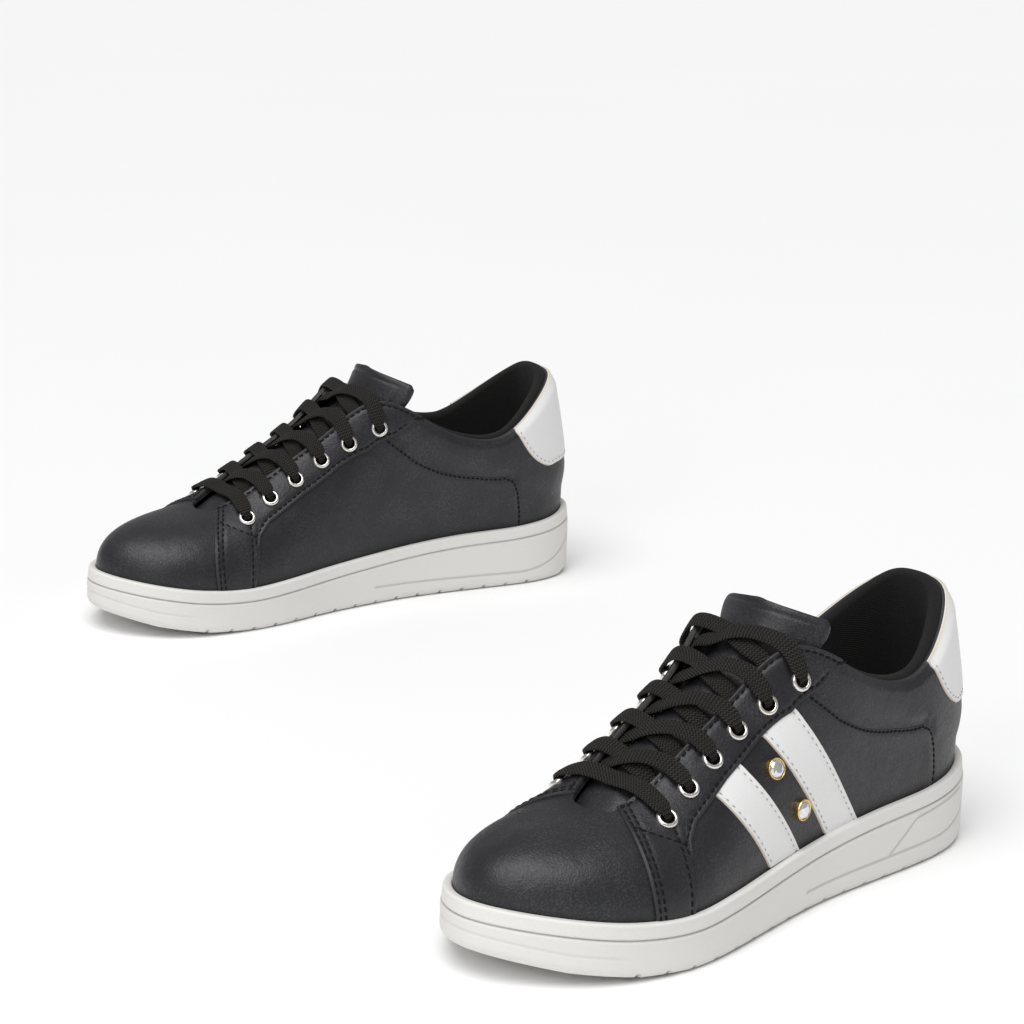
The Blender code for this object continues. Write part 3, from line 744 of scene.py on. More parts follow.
# Where panels end, as stations counted from the heel, and as heights up the wall (0 to 1).
VAMP_U = 8.95
QUARTER_U = 9.2
LEG_REAR_U = 8.76
LEG_FRONT_U = (9.5, 9.85)
HEEL_PANEL_U = 6.35
EYESTAY_TOP, VAMP_TOP, HEEL_TOP = 0.995, 0.99, 0.985
TUCK = 0.13
PANEL_COLUMNS, LEG_TURN_COLUMNS = 84, 6


def band(us, low, high, rows):
    """Grid of (u, v) whose columns run from low(u) to high(u), closer together at both ends."""
    us = np.asarray(us, float)
    low = np.broadcast_to(low, us.shape)[:, None]
    high = np.broadcast_to(high, us.shape)[:, None]
    even = np.linspace(0, 1, rows)
    share = (0.5 * even + 0.5 * (0.5 - 0.5 * np.cos(math.pi * even)))[None, :]
    return np.stack([np.broadcast_to(us[:, None], (len(us), rows)), low + (high - low) * share], -1)


def dense(stops, counts):
    """Values from stop to stop, with that many steps in each stretch."""
    parts = [np.linspace(a, b, n + 1)[:-1] for a, b, n in zip(stops[:-1], stops[1:], counts)]
    return np.concatenate([*parts, stops[-1:]])


def border(points, which):
    """One border of a grid: low, high, first or last."""
    return {"low": points[:, 0], "high": points[:, -1], "first": points[0], "last": points[-1]}[which]


class Panel:
    """A piece of leather laid over the upper, with its cut edges, stitch rows and holes."""

    def __init__(self, uv, low, high, cut=(), swell=0.0):
        self.uv = uv
        self.skin, self.normal = upper(uv[..., 0], uv[..., 1])
        self.low, self.high, self.cut = low, high, cut
        self.swell = swell
        self.rows = []
        self.holes = []

    def row(self, which, gap, start=0, stop=None):
        """A stitch row beside one border, between two places along it."""
        line = border(self.skin, which)[start:stop]
        normals = border(self.normal, which)[start:stop]
        self.rows.append(beside(line, normals, gap))

    def stitches(self):
        """The rows as (line, normals) for sew(), raised to just above their own dents."""
        swell = np.broadcast_to(self.swell, self.skin.shape[:2]).ravel()
        flat = self.skin.reshape(-1, 3)
        raised = []
        for line, normals in self.rows:
            nearest = [int(np.argmin(np.sum((flat - spot) ** 2, 1))) for spot in line]
            height = self.high - DENT_DEPTH + STITCH_LIFT + swell[nearest]
            raised.append((line + normals * height[:, None], normals))
        return raised

    def build(self, shoe, name, finish, slot, nodes):
        far = distance(self.skin, [border(self.skin, which) for which in self.cut]) if self.cut else 99.0
        near = np.clip(1 - far / EDGE_ROUND, 0, 1)
        top = self.high - EDGE_ROUND * round_off(near) + self.swell
        if self.rows:
            dent = distance(self.skin, [line for line, _ in self.rows])
            top = top - DENT_DEPTH * np.exp(-((dent / DENT_WIDTH) ** 2))
        columns, rows = self.uv.shape[:2]
        outer = self.skin + self.normal * top[..., None]
        inner = self.skin + self.normal * self.low
        gone = np.zeros((columns, rows), bool)
        for centre, axis in self.holes:
            for sheet in (outer, inner):
                reach = sheet - centre
                reach -= (reach @ axis)[..., None] * axis
                radius = np.linalg.norm(reach, axis=-1)
                if sheet is outer:
                    hit = radius < EYELET_HOLE * 0.85
                    gone |= hit
                    ragged = ~hit & (radius < EYELET_HOLE * 1.25)
                push = np.where(ragged, EYELET_HOLE * 1.05 / np.maximum(radius, 0.1) - 1, 0)
                sheet += reach * np.clip(push, 0, 1)[..., None]
        gone = gone.ravel()
        faces = [f[::-1] for f in grid_faces(columns, rows) if not any(gone[i] for i in f)]
        points, solid = solid_sheet(outer.reshape(-1, 3), inner.reshape(-1, 3), faces)
        worn = np.broadcast_to(np.exp(-((far / 0.45) ** 2)), (columns, rows)).ravel()
        marks = {
            "edge": np.concatenate([worn, np.zeros(columns * rows)]),
            "lay": np.tile(self.skin.reshape(-1, 3), (2, 1)),
        }
        lining = None if finish == "white" else len(solid) - len(faces)
        used = np.zeros(len(points), bool)
        used[[i for face in solid for i in face]] = True
        number = np.cumsum(used) - 1
        solid = [tuple(int(number[i]) for i in face) for face in solid]
        points = points[used]
        marks = {key: values[used] for key, values in marks.items()}
        shoe.add(name, points, solid, finish, slot, nodes, lining_from=lining, marks=marks)


def collar_swell(u, v):
    """How far the padded collar stands out above its seam."""
    side = np.where(np.mod(u, FULL_TURN) > STATIONS, -1, 1)
    from_heel = np.where(side > 0, np.mod(u, FULL_TURN), FULL_TURN - np.mod(u, FULL_TURN))
    nearby = [np.interp(from_heel + shift, *COLLAR_LINE.T) for shift in np.linspace(-0.8, 0.8, 17)]
    above_seam = ease((v - np.interp(from_heel, *COLLAR_LINE.T)) / 0.10)
    above = ease((v - np.mean(nearby, axis=0)) / 0.22)
    return COLLAR_SWELL * above_seam * above * ease((1.0 - v) / 0.12) * ease((SWELL_END - from_heel) / 1.2)


def eyestay_grid(side):
    rear = seam(EYESTAY_REAR, side)
    us = dense(np.array([rear[0, 0] - 0.1, rear[-1, 0], LEG_REAR_U, LEG_FRONT_U[0]]),
               (PANEL_COLUMNS, LEG_TURN_COLUMNS, 22))
    low = np.interp(us, [*rear[:, 0], LEG_REAR_U], [*rear[:, 1], -0.02])
    sheet = band(us, low, EYESTAY_TOP, 46)
    reach = np.clip((us - LEG_REAR_U) / (LEG_FRONT_U[0] - LEG_REAR_U), 0, 1)[:, None]
    sheet[..., 0] += (LEG_FRONT_U[1] - LEG_FRONT_U[0]) * np.maximum(sheet[..., 1], 0) * reach
    return sheet


def uppers(shoe):
    """All black leather panels and their stitching."""
    black = {"collar": [], "eyestay": []}
    vamp_u = np.linspace(VAMP_U, FULL_TURN - VAMP_U, 150)
    vamp = Panel(band(vamp_u, -TUCK, VAMP_TOP, 56), 0.0, BASE_OUT, ("high",))
    vamp.build(shoe, "vamp", "black", "upper_leather", ["vamp"])
    for word, side in (("lateral", 1), ("medial", -1)):
        line = seam(COLLAR_SEAM, side)
        rear = seam(EYESTAY_REAR[1:], side)
        us = dense(np.array([line[0, 0], line[2, 0], line[-1, 0], QUARTER_U]), (8, 60, 60))
        high = np.interp(us, line[:, 0], line[:, 1])
        ahead = us > line[-1, 0]
        high[ahead] = np.clip(np.interp(us[ahead], rear[:, 0], rear[:, 1]) + 0.04, 0.5, high[~ahead][-1])
        quarter = Panel(turned(band(us, -TUCK, high, 44), side), 0.0, LAP_OUT, ())
        last = int(np.sum(~ahead))
        high_line = border(quarter.skin, "high")
        ends = slice(0, last) if side > 0 else slice(len(us) - last, None)
        heel_edge = border(quarter.skin, "first" if side > 0 else "last")
        heel_normals = border(quarter.normal, "first" if side > 0 else "last")
        top_row = beside(high_line[ends], border(quarter.normal, "high")[ends], LAP_SEAM_IN)
        heel_row = beside(heel_edge, heel_normals, LAP_SEAM_IN * side)
        quarter.rows += [top_row, heel_row]
        quarter.swell = lap_thickness(distance(quarter.skin, [high_line[ends], heel_edge]))
        black["collar"] += quarter.stitches()
        quarter.build(shoe, f"quarter_{word}", "black", "upper_leather", [f"quarter_{word}"])

        eyestay = Panel(turned(eyestay_grid(side), side), OVER_IN, OVER_OUT, ("low", "high", "first", "last"))
        eyestay.holes = [upper(*find(x, z, side)) for x, z in EYELETS]
        black["eyestay"] += eyestay_rows(eyestay, side)
        eyestay.build(shoe, f"eyestay_{word}", "black", "upper_leather", [f"eyestay_{word}"])
    heel_panel(shoe)
    for kind, pitch, size in (("eyestay", BLACK_PITCH, BLACK_STITCH), ("collar", BOLD_PITCH, BOLD_STITCH)):
        sew(shoe, f"stitches_{kind}", black[kind], pitch, size, "black thread", "upper_leather")


def eyestay_rows(eyestay, side):
    """Rows round the eyelet panel, down the rear of its leg, two down the front and one across."""
    columns = eyestay.uv.shape[0]
    order = slice(None) if side > 0 else slice(None, None, -1)
    number = np.arange(columns)[order]
    rear, front = ("first", "last") if side > 0 else ("last", "first")
    inward = {"low": -SEAM_IN, "high": SEAM_IN, "first": SEAM_IN, "last": -SEAM_IN}
    slope = np.sort(number[:PANEL_COLUMNS + 2])
    eyestay.row("low", inward["low"], slope[0], slope[-1] + 1)
    eyestay.row("high", inward["high"])
    eyestay.row(front, inward[front] * 0.8)
    eyestay.row(front, inward[front] * 1.9)
    leg = number[PANEL_COLUMNS + LEG_TURN_COLUMNS]
    eyestay.rows.append(beside(eyestay.skin[leg, :28], eyestay.normal[leg, :28], inward[rear]))
    start, stop = np.array(find(199.5, 43.2, side)), np.array(find(214.8, 49.6, side))
    across = start + (stop - start) * np.linspace(0, 1, 20)[:, None]
    eyestay.rows.append(upper(across[:, 0], across[:, 1]))
    return eyestay.stitches()


def heel_panel(shoe):
    """Padded collar panel: a band under the rim that runs down to the sole at the heel."""
    us = np.linspace(-HEEL_PANEL_U, HEEL_PANEL_U, 340)
    low = np.empty(len(us))
    for side in (1, -1):
        line = seam(COLLAR_SEAM, side)
        here = us * side > 0
        along = np.abs(us[here])
        under_lap = np.interp(along, line[:, 0], line[:, 1]) - 0.035
        low[here] = -TUCK + (under_lap + TUCK) * ease((along - line[0, 0] - 0.05) / 0.3)
    uv = band(us, low, HEEL_TOP, 52)
    panel = Panel(uv, 0.0, BASE_OUT, ("high",), collar_swell(uv[..., 0], uv[..., 1]))
    panel.build(shoe, "heel_panel", "black", "upper_leather", ["heel_panel"])


def lap_thickness(lap):
    """Change of a quarter's height: full at its rounded stitched edge, level with the vamp elsewhere."""
    near = np.clip(1 - lap / EDGE_ROUND, 0, 1)
    return (BASE_OUT - LAP_OUT) * ease((lap - 3) / 8) - 0.8 * EDGE_ROUND * round_off(near)


# ---- White trim ----------------------------------------------------------------------------------

def trim(shoe):
    """White stripes and heel tab with their grey stitching."""
    rows = []
    for name, corners in STRIPES.items():
        top_rear, top_front, low_front, low_rear = (np.array(corner, float) for corner in corners)
        along, across = np.linspace(-0.03, 1.035, 9), np.linspace(0, 1, 4)
        lows = [low_rear * (1 - s) + low_front * s for s in across]
        tops = [top_rear * (1 - s) + top_front * s for s in across]
        coarse = np.array([
            [find(*((1 - t) * low + t * top)) for t in along] for low, top in zip(lows, tops)
        ])
        columns = dense(np.array([0, 0.12, 0.88, 1.0]), (6, 14, 6))
        fine = np.stack([hermite(along, line, np.linspace(along[0], along[-1], 64)) for line in coarse])
        fine = np.stack([hermite(across, fine[:, k], columns) for k in range(64)], 1)
        stripe = Panel(fine, TRIM_IN, TRIM_OUT, ("first", "last"))
        stripe.row("first", SEAM_IN)
        stripe.row("last", -SEAM_IN)
        rows += stripe.stitches()
        stripe.build(shoe, name, "white", "white_leather", [name])
    line = seam(HEEL_TAB_LOW, 1)
    us = np.linspace(-line[-1, 0], line[-1, 0], 110)
    low = smooth(line, np.abs(us))
    uv = band(us, low, HEEL_TOP, 40)
    swell = collar_swell(uv[..., 0], uv[..., 1])
    tab = Panel(uv, TRIM_IN, TRIM_OUT, ("low", "high"), swell)
    tab.row("low", -SEAM_IN)
    rows += tab.stitches()
    tab.build(shoe, "heel_tab", "white", "white_leather", ["heel_tab"])
    sew(shoe, "stitches_white", rows, FINE_PITCH, FINE_STITCH, "grey thread", "white_leather")


# ---- Metal and stones ----------------------------------------------------------------------------

EYELET_PROFILE = (
    (2.45, 1.6), (2.45, 4.0), (2.6, 4.55), (2.95, 4.92), (3.4, 5.0), (3.85, 4.8), (4.22, 4.4),
    (4.4, 3.8), (4.36, 3.35), (3.1, 3.25), (2.95, 1.6),
)
BEZEL_PROFILE = (
    (4.3, 1.8), (4.35, 3.3), (4.3, 3.9), (4.15, 4.15), (3.95, 4.15), (3.8, 3.9), (3.75, 3.3), (3.75, 1.8),
)


def eyelets(shoe):
    for word, side in (("lateral", 1), ("medial", -1)):
        for number, (x, z) in enumerate(EYELETS):
            centre, normal = upper(*find(x, z, side))
            points, faces = lathe(EYELET_PROFILE, centre, normal, 40)
            name = f"eyelet_{word}_{number + 1}"
            shoe.add(name, points, faces, "nickel", "eyelet_nickel", [name], sharp=60)


def stone(centre, axis):
    """Cut crystal: girdle, crown facets and table."""
    turn = np.array(Vector((0, 0, 1)).rotation_difference(Vector(axis)).to_matrix())
    rings = ((16, 3.85, 3.5, 0.0), (8, 2.9, 4.5, 0.5), (8, 1.75, 4.95, 0.0))
    points = [(0, 0, 2.0)]
    for count, radius, height, offset in rings:
        for k in range(count):
            angle = 2 * math.pi * (k + offset) / count
            points.append((radius * math.cos(angle), radius * math.sin(angle), height))
    faces = [(0, 1 + (k + 1) % 16, 1 + k) for k in range(16)]
    for k in range(8):
        girdle = [1 + 2 * k, 1 + (2 * k + 1) % 16, 1 + (2 * k + 2) % 16]
        crown, beyond = 17 + k, 17 + (k + 1) % 8
        faces += [(girdle[0], girdle[1], crown), (girdle[1], girdle[2], crown), (crown, girdle[2], beyond)]
        table = 25 + (k + 1) % 8
        faces += [(25 + k, crown, table), (crown, beyond, table)]
    faces.append(tuple(25 + k for k in range(8)))
    return np.array(points) @ turn.T + centre, faces


def studs(shoe):
    for name, (x, z) in STUDS.items():
        centre, normal = upper(*find(x, z))
        rim_shape, stone_shape = lathe(BEZEL_PROFILE, centre, normal, 40), stone(centre, normal)
        shoe.add(f"{name}_rim", *rim_shape, "gold", "crystal_stud", [name], sharp=60)
        shoe.add(f"{name}_stone", *stone_shape, "crystal", "crystal_stud", [name], sharp=1)


# ---- Lining, insole and hidden parts -------------------------------------------------------------

LINING_END = 5.35


def collar_lining(shoe):
    """Padded lining: up the inside of the heel and rolled over behind the rim."""
    us = np.linspace(-LINING_END, LINING_END, 150)
    fade = ease((LINING_END - np.abs(us)) / 1.2)
    heights = np.linspace(0.02, 0.93, 18)
    rise = upper_mid(us, np.ones(len(us))) - upper_mid(us, np.full(len(us), 0.97))
    rise = unit(rise)
    edge, normal = upper(us, np.ones(len(us)))
    radius = 1.3 + 1.7 * fade
    rows = []
    for v in heights:
        plump = 1.0 + 1.4 * math.sin(math.pi * v) ** 0.8
        rows.append(upper(us, v, -(2 * radius + (plump - 1.0) * fade))[0])
    for angle in np.linspace(math.pi, 0, 12):
        centre = edge - normal * (radius + 0.1)[:, None] - rise * (radius * 0.45)[:, None]
        rows.append(
            centre + normal * (radius * math.cos(angle))[:, None] + rise * (radius * math.sin(angle))[:, None]
        )
    for v in heights[::-3]:
        rows.append(upper(us, v, np.full(len(us), -0.15))[0])
    ring = np.stack(rows, 1)
    count = ring.shape[1]
    faces = [
        (i * count + k, i * count + (k + 1) % count, (i + 1) * count + (k + 1) % count, (i + 1) * count + k)
        for i in range(len(us) - 1)
        for k in range(count)
    ]
    faces = [f[::-1] for f in faces]
    faces += [tuple(range(count)), tuple((len(us) - 1) * count + k for k in range(count))[::-1]]
    lay = np.stack(np.broadcast_arrays(us[:, None] * 22, 0.0, np.arange(count)[None] * 3.0), -1)
    made = shoe.add("collar_lining", ring.reshape(-1, 3), faces, "lining", "lining", ["collar_lining"],
                    sharp=70, marks={"lay": lay.reshape(-1, 3)})


def footbed_grid(count, across, inset):
    """Points from the outer to the inner side of the sole outline, station by station."""
    us = np.linspace(0, STATIONS, count)
    outer = sole_ring(us, np.full(count, inset))
    inner = sole_ring(FULL_TURN - us, np.full(count, inset))
    share = np.linspace(0, 1, across)[None, :, None]
    return outer[:, None] * (1 - share) + inner[:, None] * share, np.abs(2 * share[..., 0] - 1)


INSOLE_INSET, INSOLE_UNDER, INSOLE_OVER = 8.4, 2.5, 5.6
EDGE_CUP, HEEL_CUP = 2.2, 1.6
# Height, place along the shoe and reach.
ARCH, CROWN = (1.2, 105, 34), (0.5, 190, 26)


def insole(shoe):
    """Footbed with a cupped heel, an arch and a low crown behind the toes."""
    flat, side = footbed_grid(140, 36, INSOLE_INSET)
    x = flat[..., 0]
    floor = smooth(SOLE_TOP, x) - CUP_DEPTH
    cup = EDGE_CUP * side**4 + HEEL_CUP * ease((60 - x) / 50) * side**2
    arch, crown = (rise * np.exp(-(((x - place) / reach) ** 2)) for rise, place, reach in (ARCH, CROWN))
    arch *= ease(-flat[..., 1] / 22)
    crown *= 1 - side**2
    over = np.stack([x, flat[..., 1], floor + INSOLE_OVER + cup + arch + crown], -1)
    under = np.stack([x, flat[..., 1], floor + INSOLE_UNDER], -1)
    count, across = x.shape
    faces = grid_faces(count, across)
    points, solid = solid_sheet(over.reshape(-1, 3), under.reshape(-1, 3), [f[::-1] for f in faces])
    lay = np.stack([x, 0 * x, flat[..., 1]], -1).reshape(-1, 3)
    made = shoe.add("insole", points, solid, "insole", "lining", ["insole"],
                    marks={"lay": np.tile(lay, (2, 1))}, weld=True)


def stiffeners(shoe):
    """The board and the heel counter keep their CAD shape."""
    for name in ("lasting_board", "heel_counter"):
        kept = frame["nodes"][f"{shoe.name}_{name}"]
        kept.data.materials.clear()
        kept.data.materials.append(FINISHES["board"])


# ---- Cupsole -------------------------------------------------------------------------------------

NOTCH_START, NOTCH_END, NOTCH_PITCH = 38.0, 232.0, 12.9
NOTCH_RISE, TREAD_DEPTH = 2.3, 1.6
# The relief of the sole's side: (depth in mm, share of painted shade) of each kind of line.
GROOVE, SIDE_LINE, TOE_LINE, NOTCH = (0.62, 0.8), (0.5, 0.5), (0.22, 0.15), (1.3, 0.9)
GROOVE_WIDTH, LINE_WIDTH = 0.42, 0.6
TOE_LINE_START = 232
# How far the foot of the wall rounds inwards and upwards, the wall's set-backs, and the lip's round.
FOOT_IN, FOOT_UP = 3.4, 4.5
UPPER_SETBACK, WALL_SETBACK = 0.5, 0.35
LIP_ROUND = 1.0


def notch_at(x):
    """1 on the line of a tread notch, falling to 0 beside it."""
    off = np.abs(np.mod(x - NOTCH_START + NOTCH_PITCH / 2, NOTCH_PITCH) - NOTCH_PITCH / 2)
    inside = (x > NOTCH_START - 1) & (x < NOTCH_END + 1)
    return np.where(inside, ease((0.95 - off) / 0.45), 0)


def side_lines(side):
    """The lines moulded into one side of the sole, as (x, z) rows."""
    x, z = SWEEP_TOP
    rear, front = LOW_LINE_HEIGHTS[side]
    turn = np.linspace(0, math.pi / 2, 16)
    sweep = np.stack([x + SWEEP_LENGTH * (1 - np.cos(turn)), z - (z - rear) * np.sin(turn)], -1)
    low = np.concatenate([sweep, [(LOW_LINE_FRONT, front)]])
    return [low, np.array(OUTER_LINE, float)] if side == 1 else [low]


def cupsole(shoe):
    """Moulded cup: grooved side wall, rounded lip, tread blocks underneath."""
    count = 860
    us = np.linspace(0, FULL_TURN, count, endpoint=False)
    x = outline(us)[:, 0]
    bottom = np.interp(x, *np.array(SOLE_BOTTOM, float).T)
    top = smooth(SOLE_TOP, x)
    side = np.where(us < STATIONS, 1, -1)
    # Painted shade: each row gets a share of darker colour in its grooves, lines and notches.
    rows, shade = [], []

    def add_row(inset, z, line_shade):
        rows.append(np.concatenate([sole_ring(us, inset), z[:, None]], 1))
        shade.append(line_shade)

    plain = np.zeros(count)
    for level in np.linspace(0, 1, 66):
        z = bottom + (top - LIP_ROUND - bottom) * level
        above, below = z - bottom, top - z
        groove = np.exp(-(((below - FOXING) / GROOVE_WIDTH) ** 2))
        moulded = np.zeros(count)
        for which in (1, -1):
            here = side == which
            far = distance(np.stack([x, z], -1)[here], side_lines(which))
            moulded[here] = np.exp(-((far / LINE_WIDTH) ** 2))
        from_ledge = z - bottom - LEDGE_RISE
        toe = ease((x - TOE_LINE_START) / 10) * np.exp(-((from_ledge / LINE_WIDTH) ** 2))
        notch = notch_at(x) * ease((NOTCH_RISE - above) / 0.6)
        lines = ((GROOVE, groove), (SIDE_LINE, moulded), (TOE_LINE, toe), (NOTCH, notch))
        inset = FOOT_IN * round_off(1 - np.clip(above / FOOT_UP, 0, 1))
        inset += UPPER_SETBACK * ease((7 - below) / 7)
        inset += WALL_SETBACK * (1 - ease((below - FOXING) / 0.5))
        inset += sum(deep * share for (deep, _), share in lines)
        add_row(inset, z, np.clip(sum(line_shade * share for (_, line_shade), share in lines), 0, 1))
    for angle in np.linspace(0.25, 1, 5) * math.pi / 2:
        inset = UPPER_SETBACK + WALL_SETBACK + LIP_ROUND * (1 - math.cos(angle))
        add_row(plain + inset, top - LIP_ROUND + LIP_ROUND * math.sin(angle), plain)
    for inset, down in ((3.6, 0.0), (4.3, 0.5), (4.45, 2.0), (4.45, CUP_DEPTH)):
        add_row(plain + inset, top - down, plain)
    height = len(rows)
    points = np.stack(rows, 1).reshape(-1, 3)
    faces = [f[::-1] for f in grid_faces(count, height, closed=True)]
    # The edge attribute carries this painted shade of the grooves and notches to the rubber finish.
    edge = np.stack(shade, 1).ravel()
    half = count // 2
    low, low_faces, painted_tread_shade = underside(np.stack(rows, 1)[:, 0], half)
    cap = [(0, 1, count - 1)]
    cap += [(i, i + 1, count - i - 1, count - i) for i in range(1, half - 1)]
    cap.append((half - 1, half, half + 1))
    start = len(points)
    faces += [tuple(i * height + height - 1 for i in f)[::-1] for f in cap]
    faces += [tuple(i + start for i in f) for f in low_faces]
    points = np.concatenate([points, low])
    edge = np.concatenate([edge, painted_tread_shade])
    shoe.add("cupsole", points, faces, "rubber", "sole_rubber", ["cupsole"], sharp=50,
             marks={"edge": edge}, weld=True)


def underside(ring, half):
    """Ground face between the two sides of the lowest ring, cut by slanted tread grooves, with painted shade for
    those grooves.
    """
    across = 60
    outer = ring[:half + 1]
    inner = ring[np.mod(-np.arange(half + 1), len(ring))]
    share = np.linspace(0, 1, across)[None, :, None]
    grid = outer[:, None] * (1 - share) + inner[:, None] * share
    x, y = grid[..., 0], grid[..., 1]
    width = np.abs(outer[:, 1] - inner[:, 1])[:, None]
    margin = (0.5 - np.abs(share[..., 0] - 0.5)) * width
    wave = x + 2.2 * np.cos(y / 5.5) * ease(margin / 6)
    groove = notch_at(wave)
    spine = ease((2.2 - np.abs(margin - 9)) / 0.8) * ease((x - 20) / 6) * ease((256 - x) / 6)
    relief = np.maximum(groove, 0.6 * spine) * ease(margin / 0.8)
    grid[..., 2] += TREAD_DEPTH * relief
    # The last value is painted shade: darker colour in the tread grooves.
    return grid.reshape(-1, 3), grid_faces(half + 1, across), relief.ravel() * 0.6


# ---- Tongue and lace -----------------------------------------------------------------------------

# How steeply the tongue's edges fall, its padding, and the furrow sewn round its upper end.
EDGE_FALL = 2.2
PAD_REACH, PAD_SHARE = 7, 0.18
FURROW_DEPTH, FURROW_IN, FURROW_WIDTH, FURROW_START = 0.35, 4.2, 0.8, 55


def tongue(shoe):
    """Padded tongue with rolled sides and top."""
    table = np.array(TONGUE)
    lengths = lengths_along(table[:, :2])
    places = dense(np.array([0, lengths[-1] - TONGUE_CORNER, lengths[-1]]), (84, 20))
    rows = hermite(lengths, table, places)
    rows[:, 2] -= TONGUE_CORNER * round_off(np.clip(1 - (lengths[-1] - places) / TONGUE_CORNER, 0, 1))
    run = unit(np.gradient(rows[:, :2], places, axis=0))
    share = np.sin(np.linspace(-1, 1, 61) * math.pi / 2)
    share = 0.5 * share + 0.5 * np.linspace(-1, 1, 61)
    drop = rows[:, 3:4] * np.abs(share) ** EDGE_FALL
    x = rows[:, :1] - run[:, 1:] * drop
    z = rows[:, 1:2] + run[:, :1] * drop
    y = rows[:, 2:3] * share
    skin = np.stack([x, y, z], -1)
    normal = unit(np.cross(np.gradient(skin, axis=0), np.gradient(skin, axis=1)))
    normal *= np.sign(normal[..., 2:3] + normal[..., 0:1])
    roll = TONGUE_THICK / 2
    to_side = (1 - np.abs(share))[None, :] * rows[:, 2:3]
    to_top = (places[-1] - places)[:, None]
    near = np.maximum(np.clip(1 - to_side / roll, 0, 1), np.clip(1 - to_top / roll, 0, 1))
    full = np.sqrt(1 - near**2)
    from_edge = np.minimum(to_side, to_top)
    padding = ease(from_edge / PAD_REACH)
    furrow = FURROW_DEPTH * np.exp(-(((from_edge - FURROW_IN) / FURROW_WIDTH) ** 2))
    furrow *= ease((places[:, None] - FURROW_START) / 10)
    outer = skin + normal * (roll * (full - 1) - furrow)[..., None]
    inner = skin - normal * (roll * (1 + full * (1 + PAD_SHARE * padding)))[..., None]
    count, wide = skin.shape[:2]
    faces = grid_faces(count, wide)
    points, solid = solid_sheet(outer.reshape(-1, 3), inner.reshape(-1, 3), faces)
    lay = np.tile(skin.reshape(-1, 3)[:, [0, 0, 1]], (2, 1))
    marks = {"edge": np.zeros(len(points)), "lay": lay}
    made = shoe.add("tongue", points, solid, "black", "upper_leather", ["tongue"], body="tongue",
                    lining_from=len(solid) - len(faces), sharp=70, marks=marks)


# Heights of the lace over the throat edge, the eyelets and the bar, and its strands' places sideways.
OVER_EDGE, OVER_EYELET, OVER_BAR = 4.7, 5.6, 3.6
LOW_SIDEWAYS, HIGH_SIDEWAYS = 8.5, 8.0


def edge_spot(number, side, w):
    """Throat edge level with an eyelet number, which may lie between two eyelets."""
    low = int(np.clip(math.floor(number), 0, len(EYELETS) - 2))
    first, second = np.array(EYELETS[low], float), np.array(EYELETS[low + 1], float)
    u = find(*(first + (second - first) * (number - low)), side)[0]
    return upper(u, 0.99, w)


def throat_spot(number, height):
    """Middle of the throat, level with an eyelet number."""
    middle = (edge_spot(number, 1, 0.0)[0] + edge_spot(number, -1, 0.0)[0]) / 2
    return middle + THROAT_NORMAL * height


def through_eyelet(number, side):
    """Rows (point, facing, flatness) of a lace that comes over the throat edge and goes in."""
    edge, edge_up = edge_spot(number + 0.2, side, OVER_EDGE)
    centre, up = upper(*find(*EYELETS[number], side))
    top = centre + up * OVER_EYELET
    onward = centre - edge
    onward -= up * (onward @ up)
    onward /= np.linalg.norm(onward)
    return [
        (edge, edge_up, 1.0),
        (top - onward * 3.8 + up * 0.4, up, 0.85),
        (top - onward * 1.3 + up * 0.4, up + onward * 0.4, 0.3),
        (centre + onward * 0.4 + up * 4.0, onward + up * 0.3, 0.0),
        (centre + onward * 0.2 + up * 1.2, onward, 0.0),
        (centre - up * 0.8 - onward * 1.2, onward - up, 0.3),
    ]


def lace_half(side, over):
    """One end of the lace, up from the bar; its strands that leave the side named over lie on top."""
    last = len(EYELETS) - 1
    route = through_eyelet(last, side)
    for number in range(last - 1, -1, -1):
        low, low_up = edge_spot(number + 0.75, side, -0.3)
        height = HIGH_STRAND if side == over else LOW_STRAND
        route.append((low, low_up, 0.9))
        route.append((throat_spot(number + 0.62, 2.6) + [0, side * LOW_SIDEWAYS, 0], THROAT_NORMAL, 1.0))
        route.append((throat_spot(number + 0.45, height), THROAT_NORMAL, 1.0))
        side = -side
        high = throat_spot(number + 0.28, height + 0.4) + [0, side * HIGH_SIDEWAYS, 0]
        route.append((high, THROAT_NORMAL, 1.0))
        route += through_eyelet(number, side)
    return route


def lace_section():
    """Cross-section of the lace as (across, up) from -1 to 1, with its ribs."""
    steps = 4 * LACE_RIBS
    share = np.linspace(1, -1, steps + 1)
    ribs = 0.72 + 0.28 * np.abs(np.sin((share + 1) / 2 * LACE_RIBS * math.pi))
    height = ribs * (1 - np.abs(share) ** 6) ** 0.5
    upper_side = np.stack([share, height], -1)
    lower_side = np.stack([-share, -height], -1)[1:-1]
    return np.concatenate([upper_side, lower_side])


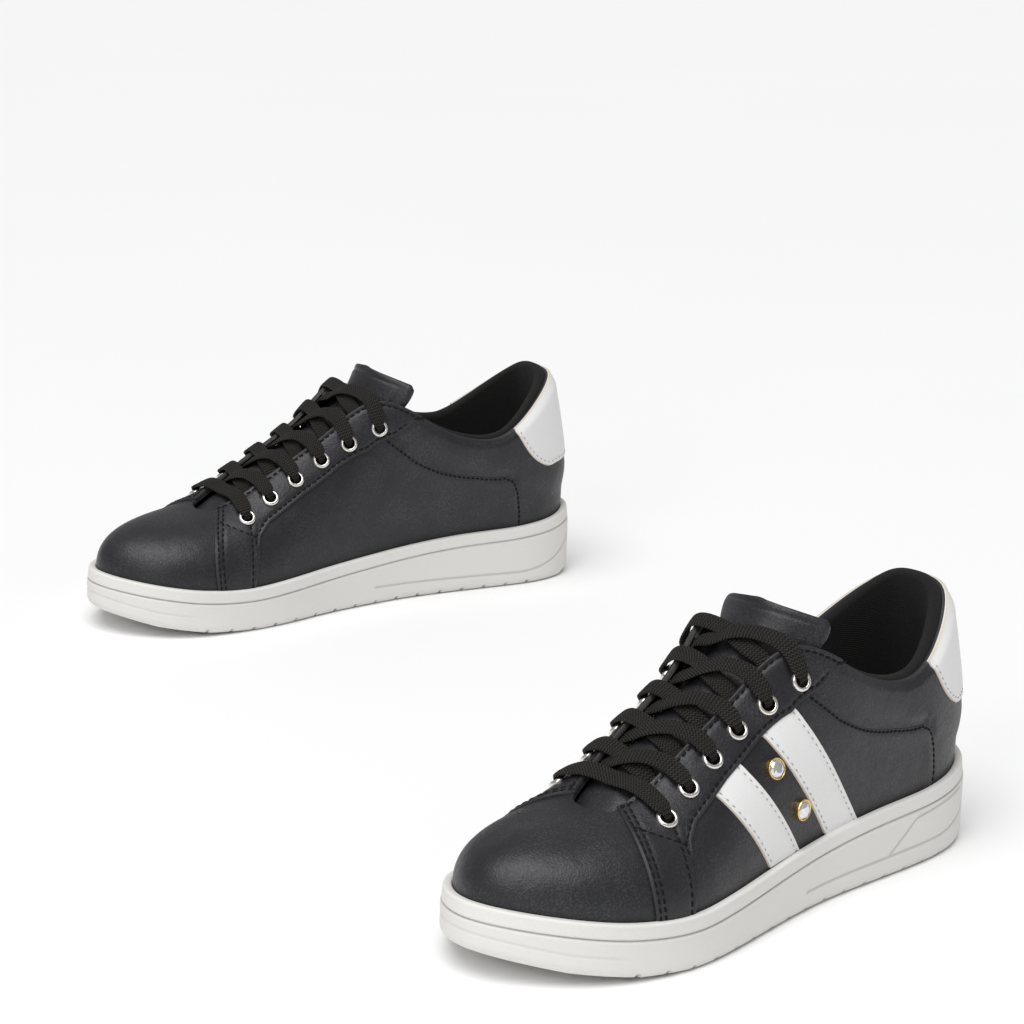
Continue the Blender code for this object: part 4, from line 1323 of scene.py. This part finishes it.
def lace(shoe):
    """Flat lace: a straight bar over the lowest pair, then both ends crossing up to the top."""
    bar = [(throat_spot(len(EYELETS) - 0.85, OVER_BAR), THROAT_NORMAL, 1.0)]
    over = -shoe.side
    route = lace_half(-1, over)[::-1] + bar + lace_half(1, over)
    spots = np.array([row[0] for row in route])
    rows, facing = [], None
    for i, (point, wanted, flatness) in enumerate(route):
        ahead = spots[min(i + 1, len(route) - 1)] - spots[max(i - 1, 0)]
        ahead /= np.linalg.norm(ahead)
        up = wanted - ahead * (wanted @ ahead)
        up /= np.linalg.norm(up)
        if facing is not None and up @ facing < 0:
            up = -up
        facing = up
        rows.append([*point, *up, flatness])
    rows = np.array(rows)
    knots = lengths_along(spots, 0.7)
    places = np.linspace(0, knots[-1], 1100)
    fine = hermite(knots, rows, places)
    line = fine[:, :3]
    length = lengths_along(line)
    ahead = unit(np.gradient(line, axis=0))
    up = unit(fine[:, 3:6] - ahead * np.sum(fine[:, 3:6] * ahead, 1, keepdims=True))
    across = np.cross(up, ahead)
    flat = np.clip(fine[:, 6], 0, 1)[:, None]
    wide = (LACE_BUNCH[0] + (LACE_WIDTH - LACE_BUNCH[0]) * flat) / 2
    thick = (LACE_BUNCH[1] + (LACE_THICK - LACE_BUNCH[1]) * flat) / 2
    section = lace_section()
    count = len(section)
    points = (
        line[:, None] + across[:, None] * (wide * section[:, 0])[..., None]
        + up[:, None] * (thick * section[:, 1])[..., None]
    )
    faces = tube_faces(len(line), count)
    lay = np.stack(np.broadcast_arrays(length[:, None], (section[:, 0] + 1)[None] * LACE_WIDTH / 2, 0.0), -1)
    shoe.add("lace", points.reshape(-1, 3), faces, "lace", "lace", ["lace"], sharp=50,
             marks={"lay": lay.reshape(-1, 3)})


# ---- Everything ----------------------------------------------------------------------------------

SHOES = {"right": Shoe("right", -1), "left": Shoe("left", 1)}
COLLAR_LINE = seam(COLLAR_SEAM, 1)
place_camera()
studio()
for made in SHOES.values():
    for build in (cupsole, insole, stiffeners, uppers, trim, eyelets, studs, collar_lining, tongue, lace):
        build(made)

bpy.context.view_layer.update()
